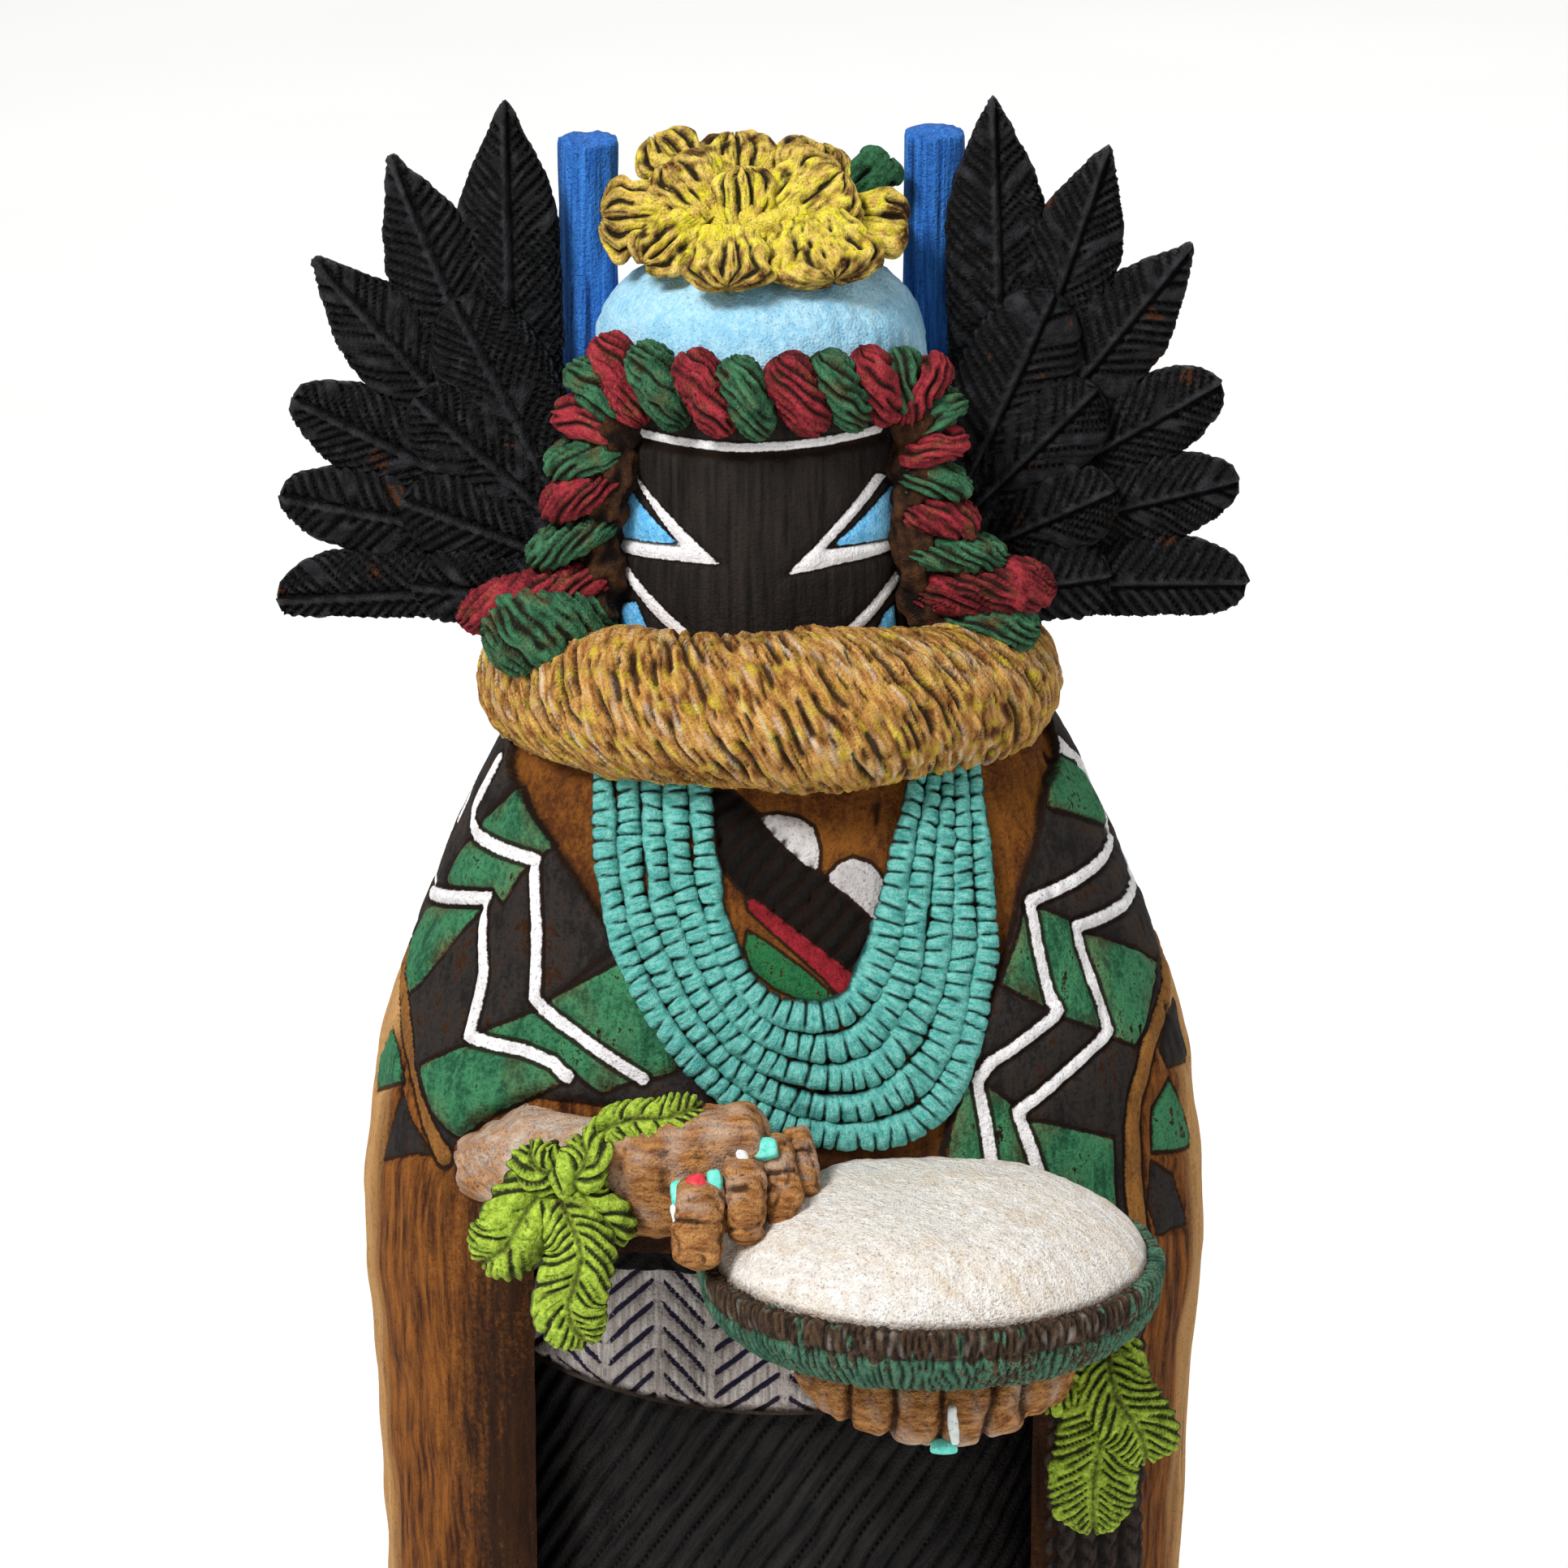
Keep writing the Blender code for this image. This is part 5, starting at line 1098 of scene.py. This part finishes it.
def feather(side, root, tip, half, thick, face, seed, low):
    """One feather: its grid runs from root to tip, and round its front and back."""
    root, tip = (np.array([x, 0, z]) for x, z in (root, tip))
    length = np.linalg.norm(tip - root)
    rows, columns = int(length / 0.38), 46
    t = np.linspace(0, 1, rows)
    stops = (0, 0.35, 0.72, 0.82, 0.90, 0.96, 0.99, 1)
    blunt = np.interp(t, stops, (0.70, 1.0, 1.0, 0.92, 0.74, 0.52, 0.30, 0.02))
    sharp = np.interp(t, stops, (0.70, 1.0, 0.96, 0.74, 0.46, 0.22, 0.10, 0.02))
    wide = half * (blunt if low else sharp)
    path = root + (tip - root) * t[:, None]
    if side > 0:
        c, s = math.cos(math.radians(3)), math.sin(math.radians(3))
        pivot = np.array([FAN_INNER_EDGE, 0, 222])
        x, y, z = (path - pivot).T
        path = pivot + spread(x * c - z * s, y, x * s + z * c)
    path[:, 0] = HEAD[0] + side * path[:, 0]
    path[:, 1] = 1.3 + face
    grid = tube(path, thick, wide, columns, FRONT, 3.2)
    grid[..., 2] = np.maximum(grid[..., 2], FAN_BOTTOM)
    angle = angles(columns)[None]
    w = np.sin(angle)
    lateral = w * wide[:, None]
    front = smooth(np.cos(angle), -0.1, 0.25)
    slope = 1.2 if seed % 3 else 0.8
    barb = (t[:, None] * length - slope * np.abs(lateral)) / 1.45 + 0.2 * rough(grid, 7, seed) + seed * 0.13
    comb = gouges(barb, 1.45, 0.34, np.abs(lateral), 7, seed + 1, -0.65) * smooth(np.abs(lateral), 0.3, 0.8)
    # The quill is a raised ridge cut down on its right, and each vane slopes away from it.
    quill = mark(lateral + 0.25, 0.35)
    beside = mark(lateral - 0.35, 0.30)
    roof = (0.95 if low else 1.15) * (1 - np.abs(w)) * np.minimum(1, wide[:, None] / 3)
    knife = smooth(rough(grid, 9, seed + 5), 1.2, 1.5)
    relief = roof + front * (0.35 * quill - 0.95 * beside) - (0.15 + 0.7 * front) * comb
    relief = relief + 0.14 * rough(grid, 3.5, seed + 2) - 0.25 * knife * front
    # A grey painted highlight on the ridges between the barbs, on the quill and round the rim; the rim's pale
    # is also wear.
    shine_and_worn_rim = 0.7 * rough(grid, 1.8, seed + 4) + 0.6 * quill + 1.1 * smooth(np.abs(w), 0.86, 0.98)
    return sheet(grid, relief, spare=True, cut=np.maximum(comb, 0.95 * beside * front),
                 brown=rough(grid, 5.5, seed + 3) - 1.3, glint=front * shine_and_worn_rim - 0.25 - 1.6 * comb,
                 lay=spread(barb * 1.45, np.abs(lateral), seed))


# Each row's feathers, how far back it stands, its half thickness, each next feather's step forward,
# and how far its roots keep from the fan's inner edge.
FAN_ROWS = ((BACK_FEATHERS, 0.6, 1.25, 0.3, 2.0), (FRONT_FEATHERS, -2.0, 1.9, 0.55, 1.6))
for name, side in (("right_feather_fan", -1), ("left_feather_fan", 1)):
    forms = []
    for row, (feathers, rise, thick, step, inset) in enumerate(FAN_ROWS):
        for k, (root, tip, half) in enumerate(feathers):
            root = (max(root[0], FAN_INNER_EDGE + inset), root[1])
            seed = 200 + 20 * row + 7 * k + (50 if side > 0 else 0)
            low = k > 2 or row > 0
            forms.append(feather(side, root, tip, half, thick, rise - step * k, seed, low))
    carve(name.replace("feather_fan", "fan_carving"), forms, black_finish, name)


# Crown
# A rosette of broad petals on top of the cap, each gouged from its root outwards; yellow paint,
# brightest in the middle, browned at the edges and lined with black.

# Each petal: its root and end in space, its half width at the end, the way that its face looks,
# and its tint (2 bright, -2 green).
PETALS = [
    ((-12.0, -5, 260.8), (-19.8, -5, 261.0), 4.2, (0.15, -1, 0.35), -0.4),
    ((-10.5, -8.5, 260.4), (-15.4, -12.2, 257.2), 3.1, (-0.2, -1, 0.5), 0),
    ((-6, -12, 259.8), (-6.2, -18.6, 255.8), 4.4, (0, -0.8, 0.8), 0),
    ((3, -9, 260.6), (5.6, -15.6, 256.0), 6.0, (0.1, -0.85, 0.8), 0.3),
    ((6, -4, 260.6), (13.2, -4, 260.3), 3.7, (-0.1, -1, 0.5), 0),
    ((-4.0, -8.8, 258.2), (-4.6, -6.6, 266.6), 2.9, (0, -1, 0.35), 2),
    ((-1, -6.6, 260.3), (6.2, -4.8, 265.8), 5.0, (-0.1, -1, 0.5), 1),
    ((-8, -6, 261.0), (-12.9, -3, 266.3), 3.8, (0.15, -1, 0.5), -0.6),
    ((-9, -1, 262.6), (-14.3, 3.4, 268.2), 3.3, (0.1, -1, 0.5), 0.3),
    ((-5, -1, 262.0), (-5.6, 4.2, 268.4), 4.2, (0, -1, 0.5), 0),
    ((1.5, 0, 261.6), (3.8, 3.4, 267.6), 3.9, (0, -1, 0.5), -0.4),
    ((7.5, 1.6, 262.0), (11.5, 2.8, 266.2), 2.4, (-0.2, -1, 0.4), -2),
    ((-2, 2, 260), (-10, 12, 258.6), 5.4, (0, 0.35, 1), 0),
    ((-1, 2, 260), (5.0, 12.6, 258.4), 5.6, (0.1, 0.35, 1), 0),
    ((2, 0, 260), (12.6, 6.0, 258.6), 4.6, (0.3, 0, 1), -0.6),
    ((-5, 0, 260), (-17.0, 5, 259.0), 4.6, (-0.2, 0, 1), 0),
    ((-3, 1, 261), (-9, 9.4, 264.4), 4.6, (0, -0.6, 0.8), 0),
    ((0, 1, 261), (6.4, 8.8, 264), 4.6, (0, -0.6, 0.8), 0),
]
petals = []
for k, (root, tip, half, towards, tint) in enumerate(PETALS):
    root, tip, towards = (np.array(v, float) for v in (root, tip, towards))
    towards /= np.linalg.norm(towards)
    length = np.linalg.norm(tip - root)
    t = np.linspace(0, 1, 52)
    path = root + (tip - root) * t[:, None] + towards * (0.6 * np.sin(t * math.pi) - 0.5 * t)[:, None]
    tapered = np.maximum(1 - (np.maximum(t - 0.62, 0) / 0.385) ** 3, 0.004) ** 0.5
    wide = 1.12 * half * np.minimum(0.62 + 0.46 * t, tapered) * (1 + 0.05 * np.sin(17 * t + k))
    turn = angles(52)[None]
    w = np.sin(turn)
    grid = tube(path, np.interp(t, (0, 0.5, 0.95, 1), (2.0, 1.7, 1.6, 1.2)), wide, 52, towards, 3.4)
    face = smooth(np.cos(turn), -0.4, 0.1)
    run = t[:, None] * length
    phase = w * (half / 1.5) + 0.16 * rough(grid, 6, 300 + k) + 0.31 * k
    gouge = gouges(phase, 1.5, 0.28, run, 5, 330 + k, -0.25) * smooth(t[:, None], 0.15, 0.45)
    hair = gouges(phase * 2.6, 0.6, 0.12, run, 4, 345 + k, 0.0)
    cup = (0.45 * w**2 + 0.3 * smooth(t[:, None], 0.6, 1.0)) * face
    relief = cup - (0.4 + 0.5 * face) * gouge - 0.3 * hair + 0.18 * rough(grid, 2.2, 360 + k)
    brown = smooth(t[:, None], 0.35, 1.0) + 1.4 * rough(grid, 1.8, 390 + k) - 0.85 - 0.3 * tint
    bright = (0.55 - t[:, None]) * 1.5 + 0.9 * rough(grid, 1.6, 420 + k) + 0.3 * tint
    petals.append(sheet(grid, relief, spare=True, cut=np.minimum(1, 1.08 * gouge**1.5 + 0.6 * hair),
                        brown=brown, bright=bright, green=-1.6 - tint + 0.3 * t[:, None],
                        lay=spread(w * half, run, 5 * k)))
heart = np.maximum(1 - np.linspace(-1, 1, 40) ** 4, 0.01) ** 0.5
knot = tube(np.array([[-2.6, -3.0, z] for z in np.linspace(255.6, 263.6, 40)]), 7.4 * heart, 7.4 * heart, 60)
petals.append(sheet(knot, 0.4 * rough(knot, 2.5, 450), bright=0.5, brown=-1.0, green=-1.0, lay=knot))
# Strong matte yellow that runs along the strokes, browned at the petals' ends; one petal is green.
crown_finish = finish(
    "yellow_painted_petals", ("#bd9038", "#f2d474"),
    [("bright", "#dacb1e", "#fff056", 0.3, 0.0), ("brown", "#3a1f0d", "#7d5022", 0.24, 0.0),
     ("green", "#14361f", "#34704a", 0.75, 0.0)],
    lay=(1.8, 0.5, 1), stain_and_shade="#17100a", wash=0.97, relief=0.0004, soft=("bright", "brown"),
)
carve("crown_carving", petals, crown_finish, "petal_crown")


# Head rods and base
# Two dowels whittled with long fibrous facets and painted blue, sawn slightly aslant at the top.
ROD_RADIUS = 3.5
ROD_BACK = 6.8
ROD_FOOT = 209.3
# Strong blue, darker in the long upright fibres that the knife lifted.
blue_finish = finish("blue_painted_whittled_dowel", ("#1a52a2", "#3f86dc"), grain=(1900, 1900, 110),
                     stain_and_shade="#0c2148", relief=0.0004, wash=0.75)
for name, side, top in (("right_head_rod", -1, 268.2), ("left_head_rod", 1, 269.1)):
    share = np.r_[np.linspace(0, 1, 90), 1, 1, 1][:, None]
    inset = np.r_[np.ones(89), 0.96, 0.7, 0.35, 0.02][:, None]
    turn = np.linspace(-math.pi, math.pi, 90, endpoint=False)[None]
    x = HEAD[0] + side * 19.6 + ROD_RADIUS * inset * np.cos(turn)
    y = ROD_BACK + ROD_RADIUS * inset * np.sin(turn)
    slant = 0.12 * (y - ROD_BACK) * (share > 0.99)
    rod = spread(x, y, ROD_FOOT + share * (top - ROD_FOOT) + slant)
    fibre = rough(rod * (1, 1, 0.06), 1.1, 500 + side)
    facets = 0.13 * fibre + 0.10 * rough(rod * (1, 1, 0.15), 2.6, 520 + side)
    body = smooth(inset, 0.9, 1.0)
    frayed = 0.2 * rough(rod, 0.9, 510) * (1 - body)
    rods = [sheet(rod, facets * body + frayed - 0.15, spare=True,
                  cut=0.85 * smooth(-fibre, 0.45, 1.3) * body)]
    carve(name.replace("head_rod", "rod_carving"), rods, blue_finish, name)

# The base is a low sawn slab with an eased edge, stained like the robe; it is below the
# photograph's edge.
turn = np.linspace(-math.pi, math.pi, 220, endpoint=False)[None]
profile = np.array([(0.97, 0.0), (0.985, 0.1), (1.0, 1.2), (1.0, 3), (1.0, 5), (1.0, 6.6), (0.994, 7.3),
                    (0.98, 7.8), *[(reach, BASE_HEIGHT) for reach in (0.96, 0.9, 0.8, 0.7, 0.5, 0.3, 0.02)]])
reach, z = profile[:, :1], profile[:, 1:]
slab = spread(52 * reach * np.cos(turn), 40 * reach * np.sin(turn), z)
chatter = 0.12 * rough(slab * (1, 1, 0.3), 4, 530) * (z > 0.5) * (z < 7.5)
# Oiled brown wood with the saw's long grain across the slab.
base_finish = finish("oil_stained_slab", ("#5b3a1c", "#8a5f33"), grain=(60, 900, 900))
carve("base_slab", [sheet(slab, chatter - 0.1 * (z > 0.5), cut=0.0)], base_finish, "base")
